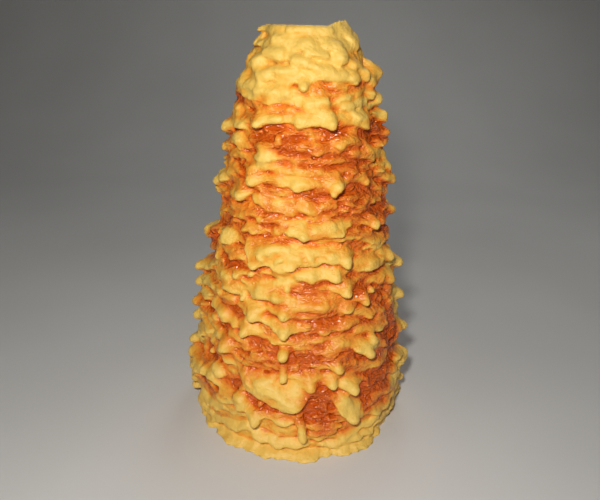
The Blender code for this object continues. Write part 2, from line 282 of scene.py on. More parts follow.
FRONT = (
    # narrow end: low, smooth rolls
    (10, 0.9, ((-66, 392, -3), (-40, 393, 2), (-20, 395, 3), (6, 395, 3), (30, 393, 4), (56, 391, 5), (76, 391, 3))),
    (12, 0.9, ((-58, 380, -1), (-46, 382, 2), (-34, 384, 4), (-12, 381, 5), (8, 382, 6), (28, 380, 6), (50, 380, 5), (66, 381, 4))),
    (12, 0.8, ((-58, 367, 2), (-47, 366, 7), (-38, 369, 6), (-26, 371, 7), (-6, 369, 6), (10, 367, 6), (36, 371, 8), (50, 370, 6))),
    (15, 0.8, ((-74, 358, 2), (-60, 357, 5), (-46, 354, 9), (-39, 353, 11), (-31, 355, 10), (-20, 354, 9), (-10, 354, 9), (-3, 352, 11), (4, 355, 9), (20, 356, 9), (34, 357, 9), (43, 353, 13), (50, 356, 11), (60, 355, 12), (68, 358, 9))),
    # the pale mass under it
    (14, 0.8, ((-72, 348, 11), (-64, 343, 13), (-56, 339, 13), (-49, 337, 12), (-40, 338, 11), (-34, 337, 12), (-28, 335, 13), (-20, 337, 12), (-12, 336, 10), (-4, 339, 8))),
    (11, 0.5, ((-4, 334, 9), (4, 330, 12), (14, 331, 12), (20, 335, 8))),
    (9, -0.2, ((14, 345, 8), (26, 341, 9), (38, 343, 9))),
    (9, 0.0, ((38, 346, 8), (46, 342, 10), (56, 346, 9), (64, 344, 9))),
    (10, 0.8, ((28, 333, 9), (38, 329, 11), (50, 330, 12), (60, 332, 11))),
    # the broad pale shelf and its neighbours
    (17, 0.45, ((-42, 318, 14), (-35, 316, 17), (-26, 319, 13), (-14, 319, 13), (-2, 317, 14), (8, 319, 13), (14, 317, 15), (19, 315, 18))),
    (19, 0.8, ((22, 324, 8), (30, 322, 10), (42, 318, 12), (50, 314, 15), (55, 312, 16), (62, 318, 11))),
    (10, 0.6, ((-64, 310, 14), (-56, 309, 15))),
    # browned band
    (9, -0.5, ((-34, 305, 8), (-25, 302, 8), (-18, 301, 12), (-8, 304, 7))),
    (9, -0.4, ((-16, 297, 8), (-6, 297, 9), (9, 293, 13), (17, 297, 9))),
    (8, 0.0, ((24, 302, 10), (27, 298, 14), (31, 302, 10))),
    (12, 0.7, ((-60, 298, 13), (-55, 291, 15), (-48, 294, 10))),
    (12, 0.7, ((44, 292, 9), (54, 286, 12), (62, 281, 14), (68, 284, 10))),
    (8, -0.5, ((-12, 283, 7), (6, 281, 9), (26, 283, 8))),
    (8, -0.5, ((24, 274, 9), (40, 276, 11), (54, 278, 8))),
    # second pale shelf
    (15, 0.4, ((-40, 266, 14), (-36, 263, 16), (-26, 267, 11), (-14, 266, 12), (-4, 262, 14), (8, 265, 12), (16, 264, 13), (23, 261, 18), (32, 265, 9))),
    (12, 0.0, ((40, 266, 9), (50, 262, 12), (62, 258, 11))),
    (12, 0.7, ((-60, 252, 9), (-54, 249, 14), (-46, 248, 16), (-40, 253, 9))),
    (13, 0.5, ((-33, 246, 15), (-28, 245, 15), (-20, 247, 11), (-8, 243, 11), (4, 239, 15), (12, 243, 8))),
    (7, 0.3, ((13, 250, 9), (17, 249, 11), (22, 251, 8))),
    (11, -0.3, ((40, 252, 7), (52, 247, 11), (66, 243, 12))),
    (8, 0.0, ((-60, 238, 10), (-52, 236, 9), (-42, 236, 9))),
    # third pale shelf
    (15, 0.9, ((-18, 227, 8), (-8, 223, 12), (1, 218, 17), (7, 220, 12), (18, 222, 14), (26, 221, 15), (32, 226, 11))),
    (8, 0.2, ((-49, 230, 10), (-45, 228, 13), (-41, 230, 9))),
    (11, 0.6, ((-37, 220, 14), (-33, 218, 15), (-27, 221, 10), (-16, 222, 8))),
    (11, 0.1, ((38, 229, 8), (48, 226, 10), (54, 222, 16), (60, 227, 10))),
    (13, 0.7, ((-64, 206, 12), (-58, 201, 15), (-52, 203, 14), (-45, 208, 9))),
    (13, 0.7, ((34, 218, 8), (42, 212, 10), (50, 206, 12), (58, 202, 15), (64, 207, 10))),
    # the widest plate
    (24, 1.0, ((-36, 203, 12), (-31, 189, 18), (-27, 187, 19), (-20, 191, 15), (-12, 187, 17), (-6, 188, 18), (2, 193, 14), (10, 193, 13))),
    (17, 0.6, ((12, 197, 12), (20, 197, 14), (27, 193, 18), (33, 197, 11))),
    (13, 0.6, ((55, 197, 12), (62, 193, 13), (68, 197, 9))),
    (13, 0.5, ((-54, 191, 13), (-48, 188, 14), (-41, 191, 11))),
    (14, 0.8, ((-22, 184, 9), (-12, 181, 12), (0, 182, 13), (6, 180, 15), (12, 184, 11), (20, 179, 16), (26, 184, 10))),
    (15, 0.9, ((36, 188, 9), (44, 183, 14), (52, 181, 15), (60, 181, 14), (68, 184, 11))),
    # lower body
    (17, 0.7, ((-66, 172, 12), (-57, 165, 15), (-48, 159, 16), (-42, 158, 14), (-36, 157, 12))),
    (19, 0.9, ((-34, 165, 10), (-28, 159, 13), (-20, 160, 13), (-13, 160, 15), (-8, 165, 10))),
    (14, 0.6, ((-12, 154, 10), (-4, 151, 13), (6, 151, 13), (16, 152, 12), (26, 155, 10))),
    (9, 0.2, ((-34, 152, 8), (-24, 149, 10), (-14, 147, 13), (-9, 145, 17), (-4, 149, 9))),
    (11, 0.5, ((15, 172, 9), (21, 170, 11), (26, 165, 17), (30, 170, 9))),
    (9, 0.0, ((30, 158, 9), (35, 155, 12), (39, 152, 16), (43, 157, 9))),
    (10, 0.0, ((44, 168, 9), (54, 164, 13), (62, 160, 13))),
    (16, 0.7, ((-38, 146, 9), (-32, 142, 13), (-26, 138, 17), (-20, 139, 11), (-13, 132, 15), (-8, 127, 20), (-3, 131, 14), (4, 134, 11))),
    (9, -0.2, ((4, 136, 9), (14, 128, 13), (20, 131, 10), (28, 137, 8))),
    (10, 0.4, ((20, 150, 9), (27, 147, 14), (33, 150, 9))),
    (10, 0.1, ((34, 141, 9), (44, 136, 12), (56, 133, 13))),
    (14, 0.5, ((-62, 131, 13), (-54, 128, 13), (-48, 127, 14), (-40, 124, 12))),
    (7, -0.1, ((-22, 124, 8), (-14, 120, 12), (-8, 117, 15), (-2, 121, 11), (8, 124, 9), (20, 122, 9), (32, 121, 10))),
    (12, 0.6, ((-37, 127, 9), (-31, 121, 16), (-25, 125, 11), (-20, 127, 8))),
    (15, 0.2, ((-52, 106, 12), (-44, 98, 17), (-38, 103, 12), (-30, 108, 9))),
    (9, 0.2, ((-42, 116, 11), (-36, 112, 14), (-31, 114, 9))),
    (10, -0.3, ((-26, 112, 8), (-18, 108, 10), (-11, 110, 9))),
    (11, 0.4, ((34, 124, 10), (44, 119, 14), (52, 117, 13), (60, 119, 10))),
    (15, 0.9, ((27, 114, 12), (33, 104, 16), (39, 98, 19), (44, 105, 13))),
    (8, -0.4, ((2, 113, 9), (14, 108, 11), (28, 107, 10))),
    (8, -0.3, ((0, 100, 8), (12, 97, 10), (30, 98, 10))),
    (9, 0.3, ((9, 97, 9), (15, 93, 13), (20, 91, 17), (24, 95, 10))),
    (9, -0.2, ((-28, 98, 9), (-18, 95, 11), (-12, 97, 10))),
    (10, -0.2, ((48, 99, 10), (58, 95, 13), (66, 98, 9))),
    (12, 0.1, ((-60, 93, 12), (-52, 87, 14), (-44, 84, 13), (-38, 86, 10))),
    (9, 0.1, ((-38, 95, 8), (-30, 90, 10), (-22, 92, 8))),
    # the great plate above the foot
    (26, 0.9, ((-37, 90, 10), (-33, 79, 12), (-29, 71, 14), (-25, 65, 16), (-20, 59, 17), (-16, 59, 16), (-12, 57, 17), (-7, 53, 20), (-3, 52, 22), (0, 52, 22), (3, 57, 19), (6, 67, 14), (9, 75, 10))),
    (10, 0.4, ((2, 81, 10), (6, 75, 16), (10, 80, 9))),
    (10, 0.4, ((13, 81, 10), (18, 75, 16), (22, 80, 9))),
    (14, 0.7, ((19, 76, 12), (24, 70, 16), (29, 65, 19), (34, 71, 12))),
    (10, 0.0, ((26, 86, 10), (38, 82, 12), (50, 80, 13), (60, 84, 10))),
    (11, -0.2, ((40, 66, 10), (54, 61, 13), (66, 61, 14))),
    (13, 0.6, ((-68, 66, 15), (-61, 58, 18), (-56, 60, 15), (-48, 66, 11))),
    (12, 0.4, ((-50, 54, 15), (-44, 47, 14), (-38, 46, 12), (-34, 52, 10))),
    (13, 0.7, ((-46, 40, 14), (-40, 42, 13), (-34, 47, 12), (-29, 46, 12), (-25, 37, 16), (-22, 30, 20), (-18, 41, 14), (-14, 42, 12), (-11, 37, 13), (-5, 34, 15), (-1, 38, 11))),
    (8, -0.4, ((8, 46, 7), (16, 45, 8), (22, 47, 8))),
    (7, -0.4, ((8, 36, 8), (15, 34, 9), (22, 35, 9))),
    (7, -0.2, ((4, 27, 9), (14, 25, 10), (24, 26, 10))),
    (20, 1.0, ((17, 66, 9), (19, 56, 13), (22, 45, 16), (25, 36, 18), (28, 33, 20), (31, 38, 16), (33, 48, 11))),
    (12, 0.2, ((44, 48, 10), (54, 44, 13), (64, 44, 14))),
)
# The two sides, down the outline.
SIDES = (
    # left
    (8, 0.5, ((-94, 348, 11), (-82, 347, 12), (-70, 346, 12), (-58, 345, 12))),
    (8, -0.5, ((-92, 338, 8), (-80, 337, 10))),
    (9, -0.3, ((-88, 325, 7), (-74, 326, 9))),
    (9, 0.5, ((-94, 313, 12), (-84, 308, 18), (-74, 314, 12))),
    (9, 0.5, ((-72, 322, 11), (-64, 320, 10))),
    (9, 0, ((-90, 288, 16), (-78, 290, 14))),
    (10, 0.5, ((-66, 300, 12), (-58, 298, 14))),
    (9, 0, ((-92, 272, 14), (-82, 271, 15))),
    (12, 0.5, ((-94, 257, 19), (-85, 254, 21), (-76, 259, 18), (-68, 263, 14))),
    (7, 0.1, ((-90, 244, 17), (-80, 244, 14))),
    (9, -0.3, ((-92, 232, 11), (-78, 234, 11))),
    (7, 0.5, ((-92, 223, 9), (-84, 222, 11), (-74, 224, 9))),
    (8, 0.5, ((-94, 203, 16), (-87, 200, 22), (-78, 204, 17), (-72, 209, 11))),
    (7, 0.5, ((-88, 197, 19), (-80, 196, 17))),
    (9, 0.5, ((-92, 187, 15), (-82, 185, 14))),
    (16, 0.5, ((-70, 192, 11), (-65, 184, 14))),
    (11, 0.5, ((-95, 163, 18), (-88, 159, 25), (-80, 163, 19), (-74, 169, 13))),
    (13, 0.5, ((-94, 147, 17), (-87, 143, 23), (-77, 147, 16))),
    (10, 0.5, ((-76, 152, 12), (-66, 148, 13), (-58, 151, 11))),
    (10, 0.5, ((-92, 131, 19), (-84, 131, 20), (-72, 136, 13))),
    (9, 0.5, ((-90, 122, 21), (-84, 121, 23), (-76, 124, 15))),
    (14, 0.5, ((-95, 107, 18), (-87, 103, 21), (-79, 107, 17))),
    (9, -0.2, ((-74, 118, 12), (-64, 116, 12))),
    (9, -0.3, ((-76, 102, 12), (-66, 98, 13))),
    (9, 0.5, ((-92, 86, 19), (-84, 85, 20), (-74, 90, 14))),
    (8, 0.5, ((-92, 75, 20), (-87, 74, 23), (-80, 77, 16))),
    (18, 0.5, ((-96, 64, 20), (-86, 57, 24), (-78, 53, 20), (-71, 48, 17))),
    (16, 0.5, ((-100, 45, 23), (-91, 42, 26), (-83, 40, 23), (-75, 42, 17))),
    (13, 0.5, ((-98, 28, 18), (-89, 26, 20), (-80, 26, 17), (-74, 29, 14))),
    # right
    (9, 0.5, ((72, 388, 3), (84, 387, 3), (94, 386, 3))),
    (9, -0.5, ((74, 348, 12), (88, 348, 13))),
    (11, 0.5, ((70, 341, 12), (80, 338, 16), (92, 340, 14))),
    (7, 0.5, ((76, 332, 12), (84, 331, 14), (92, 333, 11))),
    (7, 0.5, ((78, 322, 13), (86, 319, 20), (95, 322, 15))),
    (9, -0.3, ((72, 308, 15), (82, 305, 21), (92, 306, 19))),
    (8, -0.4, ((76, 297, 17), (86, 296, 19))),
    (12, -0.1, ((74, 286, 13), (84, 284, 18), (94, 285, 17))),
    (9, -0.1, ((76, 274, 16), (86, 272, 21), (94, 273, 19))),
    (12, 0.5, ((72, 268, 17), (80, 262, 22), (87, 258, 24), (95, 260, 20))),
    (12, -0.2, ((70, 252, 15), (80, 248, 19), (90, 247, 20))),
    (9, -0.4, ((70, 240, 11), (84, 239, 13))),
    (6, 0.5, ((78, 231, 13), (86, 226, 21), (94, 230, 14))),
    (9, -0.4, ((68, 222, 11), (84, 217, 14))),
    (10, -0.3, ((66, 207, 12), (84, 205, 13))),
    (11, 0.5, ((76, 202, 12), (85, 200, 11), (94, 201, 11))),
    (11, 0.5, ((62, 191, 13), (68, 187, 17), (74, 190, 14))),
    (6, 0.5, ((78, 176, 15), (87, 168, 21), (94, 173, 16))),
    (7, 0.5, ((74, 160, 12), (84, 158, 12), (94, 159, 12))),
    (10, 0.5, ((58, 170, 12), (66, 165, 16), (72, 168, 12))),
    (9, -0.4, ((66, 152, 10), (84, 151, 12))),
    (8, 0.6, ((70, 140, 11), (80, 137, 14), (87, 132, 19), (94, 136, 15))),
    (6, 0.8, ((78, 122, 10), (84, 119, 14), (90, 122, 11))),
    (6, 0.8, ((79, 108, 10), (85, 105, 14), (91, 108, 11))),
    (9, 0.2, ((70, 128, 11), (80, 124, 11), (94, 124, 10))),
    (9, 0.0, ((70, 114, 11), (80, 112, 11), (90, 112, 10))),
    (10, 0.5, ((70, 105, 11), (78, 100, 16), (86, 95, 23), (94, 98, 16))),
    (9, 0.5, ((52, 129, 12), (58, 125, 14), (64, 128, 11))),
    (8, -0.4, ((62, 113, 9), (70, 108, 9))),
    (8, -0.5, ((66, 100, 9), (84, 94, 13))),
    (9, -0.4, ((70, 88, 11), (84, 83, 14), (94, 84, 13))),
    (8, 0.5, ((74, 66, 15), (82, 62, 19), (88, 60, 22), (96, 62, 17))),
    (7, 0.5, ((80, 56, 17), (88, 54, 20))),
    (12, -0.2, ((64, 60, 13), (74, 48, 14), (84, 44, 13))),
    (11, 0.5, ((70, 28, 12), (84, 25, 12), (94, 24, 13))),
    (9, 0.5, ((66, 12, 12), (84, 10, 14))),
)
# Soft bolsters and lumps: (angle, height, length, half thickness, reach, tilt, tone).
ROLLS = (
    (4, 396, 44, 3.0, 3.6, 0, 0.0), (-32, 388, 12, 4.2, 5.8, 0, 0.0), (0, 385, 13, 4.4, 7.4, 0, 0.0),
    (27, 383, 20, 4.6, 7.8, 2, 0.0), (58, 387, 12, 4.4, 6.4, 0, 0.0), (-31, 377, 24, 4.2, 8.4, 0, 0.0),
    (33, 375, 14, 5.8, 10.6, 0, 0.0), (-47, 369, 11, 5.2, 9.6, 0, 0.1), (-5, 371, 18, 3.8, 8.6, 0, 0.0),
    (4, 367, 12, 3.4, 9.0, 0, 0.0), (16, 364, 20, 3.8, 10.0, 1, 0.0), (10, 377, 24, 3.4, 8.0, 3, 0.0),
    (-44, 363, 14, 4.0, 8.6, 0, 0.1), (-29, 362, 18, 4.0, 9.6, 0, 0.0), (-36, 357, 16, 4.6, 12.0, 0, 0.0),
    (-14, 362, 20, 3.4, 9.0, 0, 0.1), (24, 359, 26, 3.8, 10.8, 0, 0.0), (43, 358, 14, 5.0, 12.6, 0, 0.0),
    (60, 359, 10, 5.0, 13.0, 0, 0.0), (49, 367, 16, 4.2, 8.6, 4, 0.1), (-60, 365, 13, 4.4, 5.0, 0, 0.1),
    (-80, 384, 9, 3.6, 2.4, 0, 0.1), (82, 365, 13, 6.0, 11.0, 0, 0.1), (85, 358, 16, 7.0, 18.0, 0, 0.1), (72, 354, 14, 5.0, 13.0, 0, 0.4),
    (-39, 345, 11, 4.6, 12.4, 0, 0.0), (-66, 352, 12, 5.0, 11.0, 0, 0.0),
    (-22, 344, 24, 4.0, 11.0, 0, 0.0), (-34, 345, 9, 4.4, 10.6, 0, 0.0), (-50, 348, 14, 4.6, 11.0, 2, 0.0),
    (6, 335, 16, 4.4, 11.4, 0, 0.0), (15, 337, 10, 3.6, 10.6, 0, 0.1), (30, 349, 16, 3.6, 9.6, 2, 0.4),
    (-24, 322, 22, 3.6, 13.4, 0, 0.0), (2, 321, 22, 4.0, 13.8, 1, 0.0), (48, 322, 20, 4.4, 13.0, 3, 0.0),
    (10, 297, 11, 5.0, 12.6, 0, 0.2), (-28, 292, 19, 7.5, 12.6, 0, 0.0), (-31, 284, 13, 5.5, 12.4, -2, 0.0),
    (-38, 272, 12, 7.0, 14.6, 0, 0.05), (28, 300, 12, 5.5, 13.0, 0, 0.1), (40, 302, 16, 5.5, 12.2, 0, 0.25),
    (-6, 300, 18, 5.0, 11.6, 1, 0.45), (-20, 299, 13, 4.0, 10.6, 0, 0.6), (8, 277, 40, 3.4, 10.6, 4, 0.55),
    (44, 290, 22, 4.0, 11.4, 5, 0.55), (56, 292, 14, 5.0, 13.0, 8, 0.2), (-4, 311, 26, 2.4, 8.8, 0, 0.8),
    (-8, 290, 34, 2.6, 9.0, -1, 0.8), (14, 287, 26, 2.4, 9.2, 2, 0.7), (-20, 309, 18, 2.6, 8.8, 1, 0.8),
    (-22, 270, 20, 3.6, 11.2, 0, 0.1), (2, 267, 26, 3.6, 12.4, 0, 0.0), (34, 252, 20, 2.6, 9.6, 2, 0.8),
    (-6, 231, 22, 2.6, 9.4, 1, 0.8), (-16, 234, 24, 2.4, 9.2, 3, 0.8), (14, 224, 26, 5.0, 13.6, 0, 0.0),
    (-4, 224, 14, 4.0, 12.8, 3, 0.0), (-22, 203, 18, 4.6, 15.0, 0, 0.0), (-4, 199, 14, 4.0, 15.2, 3, 0.0), (-13, 197, 9, 3.0, 16.0, -3, 0.0),
    (-58, 206, 13, 6.0, 14.6, 1, 0.1), (6, 199, 8, 3.0, 14.4, 4, 0.1), (-24, 197, 8, 2.6, 16.6, 3, 0.0),
    (-14, 208, 22, 2.8, 12.4, -1, 0.1), (6, 206, 14, 3.2, 11.6, 0, 0.3), (20, 200, 14, 4.0, 14.0, 0, 0.1),
    (2, 184, 18, 3.6, 13.0, 0, 0.0), (-12, 187, 16, 3.0, 11.8, 0, 0.2), (50, 187, 20, 3.6, 14.0, 0, 0.0),
    (-22, 166, 16, 4.6, 13.0, 0, 0.0), (-14, 162, 8, 4.6, 14.6, 0, 0.0), (8, 156, 26, 3.6, 12.6, 0, 0.1),
    (-50, 168, 14, 4.0, 14.0, 2, 0.0), (-26, 143, 12, 4.0, 14.0, 0, 0.0), (-12, 140, 14, 3.6, 13.0, 3, 0.1),
    (-50, 132, 16, 4.4, 13.0, 0, 0.2), (-44, 104, 14, 6.0, 15.0, 0, 0.4), (-20, 104, 26, 2.6, 10.4, 1, 0.8),
    (16, 112, 30, 2.4, 10.2, 0, 0.8), (20, 103, 26, 2.6, 10.6, -1, 0.8), (24, 118, 20, 2.6, 10.6, 1, 0.7),
    (44, 110, 12, 5.0, 16.0, 4, 0.0), (-20, 77, 44, 5.4, 13.2, 8, 0.1), (-14, 67, 36, 5.4, 15.8, 8, 0.0),
    (-16, 73, 26, 2.0, 17.0, 6, 0.1), (-10, 64, 22, 2.0, 18.6, 8, 0.1), (-24, 69, 14, 2.0, 16.6, 10, 0.1),
    (-4, 58, 14, 4.4, 19.0, 3, 0.0), (26, 74, 12, 4.4, 14.6, 3, 0.1), (25, 56, 14, 6.0, 14.0, 6, 0.0),
    (-32, 53, 16, 4.4, 14.4, 3, 0.2), (-54, 62, 14, 5.0, 16.0, 3, 0.2), (13, 66, 22, 1.8, 10.6, 1, 0.9),
    (15, 61, 18, 1.7, 11.0, 1, 0.9), (-50, 71, 15, 5.0, 15.0, 5, 0.0), (-30, 46, 12, 4.0, 14.0, -4, 0.1), (11, 56, 14, 1.9, 10.8, -1, 0.9), (16, 51, 16, 1.7, 11.0, 1, 0.9),
    (10, 46, 14, 1.9, 11.6, 0, 0.9), (15, 41, 22, 2.0, 12.2, 1, 0.8), (12, 36, 24, 2.0, 12.8, 0, 0.8),
    (16, 31, 28, 2.1, 13.4, 1, 0.7), (13, 26, 30, 2.2, 14.0, 0, 0.5),
)
FOOT_FRONT = (
    (12, ((-86, 34, 16), (-74, 27, 15), (-66, 24, 15), (-58, 22, 14), (-50, 25, 13), (-44, 30, 11))),
    (11, ((-84, 17, 12), (-76, 14, 14), (-68, 13, 15), (-61, 9, 15), (-54, 8, 15), (-47, 11, 14), (-39, 14, 15), (-33, 17, 15), (-27, 21, 15), (-21, 17, 17),
          (-18, 12, 19), (-14, 15, 16), (-9, 10, 20), (-5, 12, 17), (-1, 9, 19), (4, 13, 15))),
    (10, ((4, 20, 11), (10, 19, 13), (18, 17, 13), (25, 14, 15), (32, 14, 15), (40, 18, 14), (48, 22, 14), (56, 27, 14))),
    (9, ((14, 10, 14), (21, 8, 17), (28, 8, 17), (34, 9, 15), (41, 7, 17), (48, 12, 13))),
    (12, ((38, 34, 11), (46, 28, 15), (54, 27, 14), (62, 31, 13), (74, 29, 12), (86, 27, 12))),
    (8, ((50, 13, 12), (60, 11, 11), (72, 12, 11), (86, 12, 12))),
)
FOOT_RIM = (
    (-88, 3, 9), (-74, 2, 11), (-62, 2, 12), (-50, 1, 13), (-42, 2, 13), (-34, 1, 18), (-28, 2, 15),
    (-19, 2, 15), (-12, 1, 21),
    (-6, 2, 16), (-1, 2, 19), (6, 1, 24), (12, 2, 15), (18, 2, 14), (23, 1, 21), (28, 2, 15),
    (32, 1, 19), (38, 1, 19), (45, 2, 11), (56, 2, 6), (68, 3, 5), (80, 3, 7),
)
# Drips that hang clear: (angle, height of the tip, reach, tip size, root, rise) and,
# for one that slants, how far its tip lies to the right of its root.
DRIPS = (
    (-1, 348, 14, 3.6, 5.0, 8), (20, 256, 18, 3.0, 4.0, 7), (-8, 105, 20, 5.0, 5.0, 4),
    (-8, 81, 17, 3.2, 4.8, 22), (0, 18, 20, 3.6, 5.4, 26, 5), (-18, 302, 14, 3.0, 3.4, 3),
    (-14, 161, 17, 2.8, 3.4, 6), (86, 319, 22, 2.8, 3.6, 2),
)


def as_seen(knob):
    """Heights above were judged on the cake's mean outline, from the front. A knob that
    reaches further out stands a little higher than it looks from above."""
    angle, z, reach = knob[:3]
    nearer = (reach - 13.0) * math.cos(math.radians(angle))
    return (angle, z + nearer * (CUT_HEIGHT - z) / 596.0, reach)


def lay_front(cake, rng):
    for slope, cover, knobs in FRONT:
        knobs = [as_seen(k) for k in knobs]
        lay_ledge(cake, knobs, slope * 1.15 + 2.0, web=rng.uniform(0.06, 0.14), cover=cover,
                  k=2.2)
        for angle, z, reach in fingers_of(knobs):
            lay_knob(cake, angle, z, reach + 0.4, size=rng.uniform(3.4, 4.4),
                     root=rng.uniform(5.6, 7.2), rise=rng.uniform(4.0, 7.0), start=0.5,
                     lean=rng.uniform(-1.2, 1.2), k=5.5)
    for slope, cover, knobs in SIDES:
        knobs = [as_seen((angle, z - 3.0, reach)) for angle, z, reach in knobs]
        lay_ledge(cake, knobs, slope + 2.0, web=rng.uniform(0.06, 0.14), cover=cover,
                  k=4.0, lip=3.0, bulge=3.2, round_lip=7.5)
        for angle, z, reach in fingers_of(knobs):
            lay_knob(cake, angle, z, reach, size=rng.uniform(3.8, 5.0),
                     root=rng.uniform(5.8, 7.2), rise=rng.uniform(1.0, 4.0), start=0.5,
                     lean=rng.uniform(-1.2, 1.2), k=5.5)
    for angle, z, length, thick, reach, tilt, tone in ROLLS:
        z = as_seen((angle, z, reach))[1]
        lay_roll(cake, angle, z, length, thick, reach, tilt, tone=tone)
    for angle, z, reach, size, root, rise, *lean in DRIPS:
        z = as_seen((angle, z, reach))[1]
        lay_knob(cake, angle, z, reach, size=size, root=root, rise=rise,
                 lean=lean[0] if lean else 0.0, k=3.0)


def lay_random(cake, rng):
    """The far side, by the same habit: tiers of short ledges."""
    tier = 38.0
    while tier < 386.0:
        low = tier > 350.0
        start = 91.0 + rng.uniform(-4.0, 12.0)
        while start < 262.0:
            span = rng.uniform(16.0, 58.0)
            stop = min(start + span, 269.0)
            base = tier + rng.uniform(-6.0, 6.0)
            tilt = rng.uniform(-7.0, 7.0)
            reach = rng.uniform(6.0, 9.0) if low else rng.uniform(11.5, 17.5)
            arc = math.radians(stop - start) * (float(core_radius(base)) + 12.0)
            count = max(2, 1 + round(arc / rng.uniform(11.0, 20.0)))
            knobs = []
            for i in range(count):
                t = i / (count - 1)
                big = rng.uniform() < (0.15 if low else 0.45)
                knobs.append((start + (stop - start) * t + rng.uniform(-2, 2),
                              base + tilt * t + rng.uniform(-2.5, 2.5) - (3.5 if big else 0),
                              reach * rng.uniform(0.8, 1.05) + (rng.uniform(2, 7) if big else 0)))
            knobs = sorted((a, h, r * (0.7 if a < 106 or a > 254 else 1.0) - float(slim_at(a, h)) * low)
                           for a, h, r in knobs)
            lay_ledge(cake, knobs, rng.uniform(13.0, 24.0), web=rng.uniform(0.08, 0.2),
                      k=1.6, cover=rng.uniform(-0.4, 1.0))
            for angle, z, r in fingers_of(knobs, 0.6):
                lay_knob(cake, angle, z, r + 0.8, size=rng.uniform(3.0, 4.6),
                         root=rng.uniform(5.2, 7.0), rise=rng.uniform(4.0, 9.0),
                         lean=rng.uniform(-2, 2), k=5.5)
            start = stop + rng.uniform(3.0, 11.0)
        tier += 14.5 if tier < 350.0 else 12.0


def lay_foot(cake, rng):
    """Wavy skirts round the foot."""
    for slope, knobs in FOOT_FRONT:
        lay_ledge(cake, knobs, slope, web=0.05, lip=2.2, k=1.8, pale=0.2, cover=0.5, ripple=1.0, ease=2)
    for height, reach, count, slope in ((27, 16.0, 11, 13), (13, 17.5, 10, 10)):
        knobs = [(84.0 + 192.0 * (i + rng.uniform(-0.3, 0.3)) / (count - 1),
                  height + rng.uniform(-3.0, 3.0),
                  reach * rng.uniform(0.82, 1.14)) for i in range(count)]
        knobs.sort()
        lay_ledge(cake, knobs, slope, web=0.14, lip=2.4, pale=0.2, cover=0.5)
        for angle, z, r in knobs:
            if r > reach:
                lay_knob(cake, angle, z, r + 0.6, size=3.6, root=5.5, rise=6.0, pale=0.2)
    rim = list(FOOT_RIM)
    angle = rim[-1][0] + 16.0
    while angle < 360.0 + rim[0][0] - 10.0:
        rim.append((angle, 2.5, rng.uniform(15.5, 20.5)))
        angle += rng.uniform(13.0, 20.0)
    lay_ledge(cake, rim, 6.5, web=0.0, lip=3.4, undercut=0.0, bulge=1.6, closed=True, pale=0.2,
              cover=0.6, round_lip=3.0, ripple=1.0, ease=1)


def lay_fillers(cake, rng):
    """Thin folds of batter between the ledges, everywhere."""
    for _ in range(270):
        z = rng.uniform(24.0, 345.0)
        a = rng.uniform(0.0, 360.0)
        mean_r = float(core_radius(z)) + 8.0
        span = math.degrees(rng.uniform(14.0, 52.0) / mean_r)
        count = int(rng.integers(2, 6))
        reach = float(body_out(z)) + rng.uniform(0.8, 4.2)
        tilt = rng.uniform(-6, 6)
        knobs = sorted((a + span * i / (count - 1) + rng.uniform(-1, 1),
                        z + tilt * i / (count - 1) + rng.uniform(-1.5, 1.5),
                        reach * rng.uniform(0.9, 1.12)) for i in range(count))
        lay_ledge(cake, knobs, rng.uniform(4.0, 8.0), web=0.08, lip=1.0,
                  k=1.2, end=8.0, bulge=0.8, round_lip=3.2, pale=rng.uniform(-0.7, 0.1))
    for _ in range(420):
        z, a = rng.uniform(30.0, 386.0), rng.uniform(0.0, 360.0)
        lay_roll(cake, a, z, rng.uniform(10.0, 34.0), rng.uniform(2.2, 5.2),
                 float(body_out(z)) + rng.uniform(0.8, 3.4) - float(slim_at(a, z)),
                 rng.uniform(-5.0, 5.0), k=2.4, tone=rng.uniform(0.2, 1.0))
    for _ in range(60):
        z = rng.uniform(36.0, 340.0)
        lay_knob(cake, rng.uniform(0, 360), z, float(body_out(z)) + rng.uniform(2.5, 5.5),
                 size=rng.uniform(2.8, 3.8), root=rng.uniform(3.6, 4.6), rise=3.0, start=0.3,
                 k=3.0)


def slim_at(angles_deg, z):
    """How much slimmer the narrow end is than its mean: more on the left than the right."""
    side = np.sin(np.radians(angles_deg))
    return np.clip((z - 350.0) / 12.0, 0, 1) * (6.0 * np.maximum(-side, 0) + 2.0 * np.maximum(side, 0))


def build_field():
    field = np.full((NT, len(Z), NR), 50.0, np.float32)
    aa, zz = np.meshgrid(A, Z, indexing="ij")
    body = (1.2 * noise(wrap_points(aa, zz, 34.0, 11.0), 1)
            + 0.7 * noise(wrap_points(aa, zz, 15.0, 5.0), 2))
    body = body - slim_at(aa, zz)
    field[:, :, INNER:] = RHO[None, None, :] - (body_out(Z)[None, :] + body)[:, :, None]
    field[:, :, :INNER] = -20.0
    tones = np.full(field.shape, 1.0, np.float32)
    cake = (field, tones)
    lay_fillers(cake, np.random.default_rng(21))
    lay_random(cake, np.random.default_rng(8))
    lay_front(cake, np.random.default_rng(3))
    lay_foot(cake, np.random.default_rng(14))
    # warp: lumps and folds of batter on every ledge
    lump = (1.4 * noise(wrap_points(aa, zz, 14.0, 9.5), 3)
            + 0.5 * noise(wrap_points(aa, zz, 8.0, 5.0), 4))
    calm = np.clip((zz - 352.0) / 20.0, 0, 1) * 0.35 + np.clip((8.0 - zz) / 8.0, 0, 1) * 0.8
    field[:, :, INNER:] -= (lump * (1 - calm))[:, :, None]
    return field, tones


def radius_of(k, z):
    """Radius at a fractional layer and a height."""
    core, hole = core_radius(z), spit_radius(z) - 3.0
    fine = core - SINK + (k - INNER) * DR
    coarse = hole + (core - SINK - hole) * k / INNER
    return np.where(k >= INNER, fine, coarse)


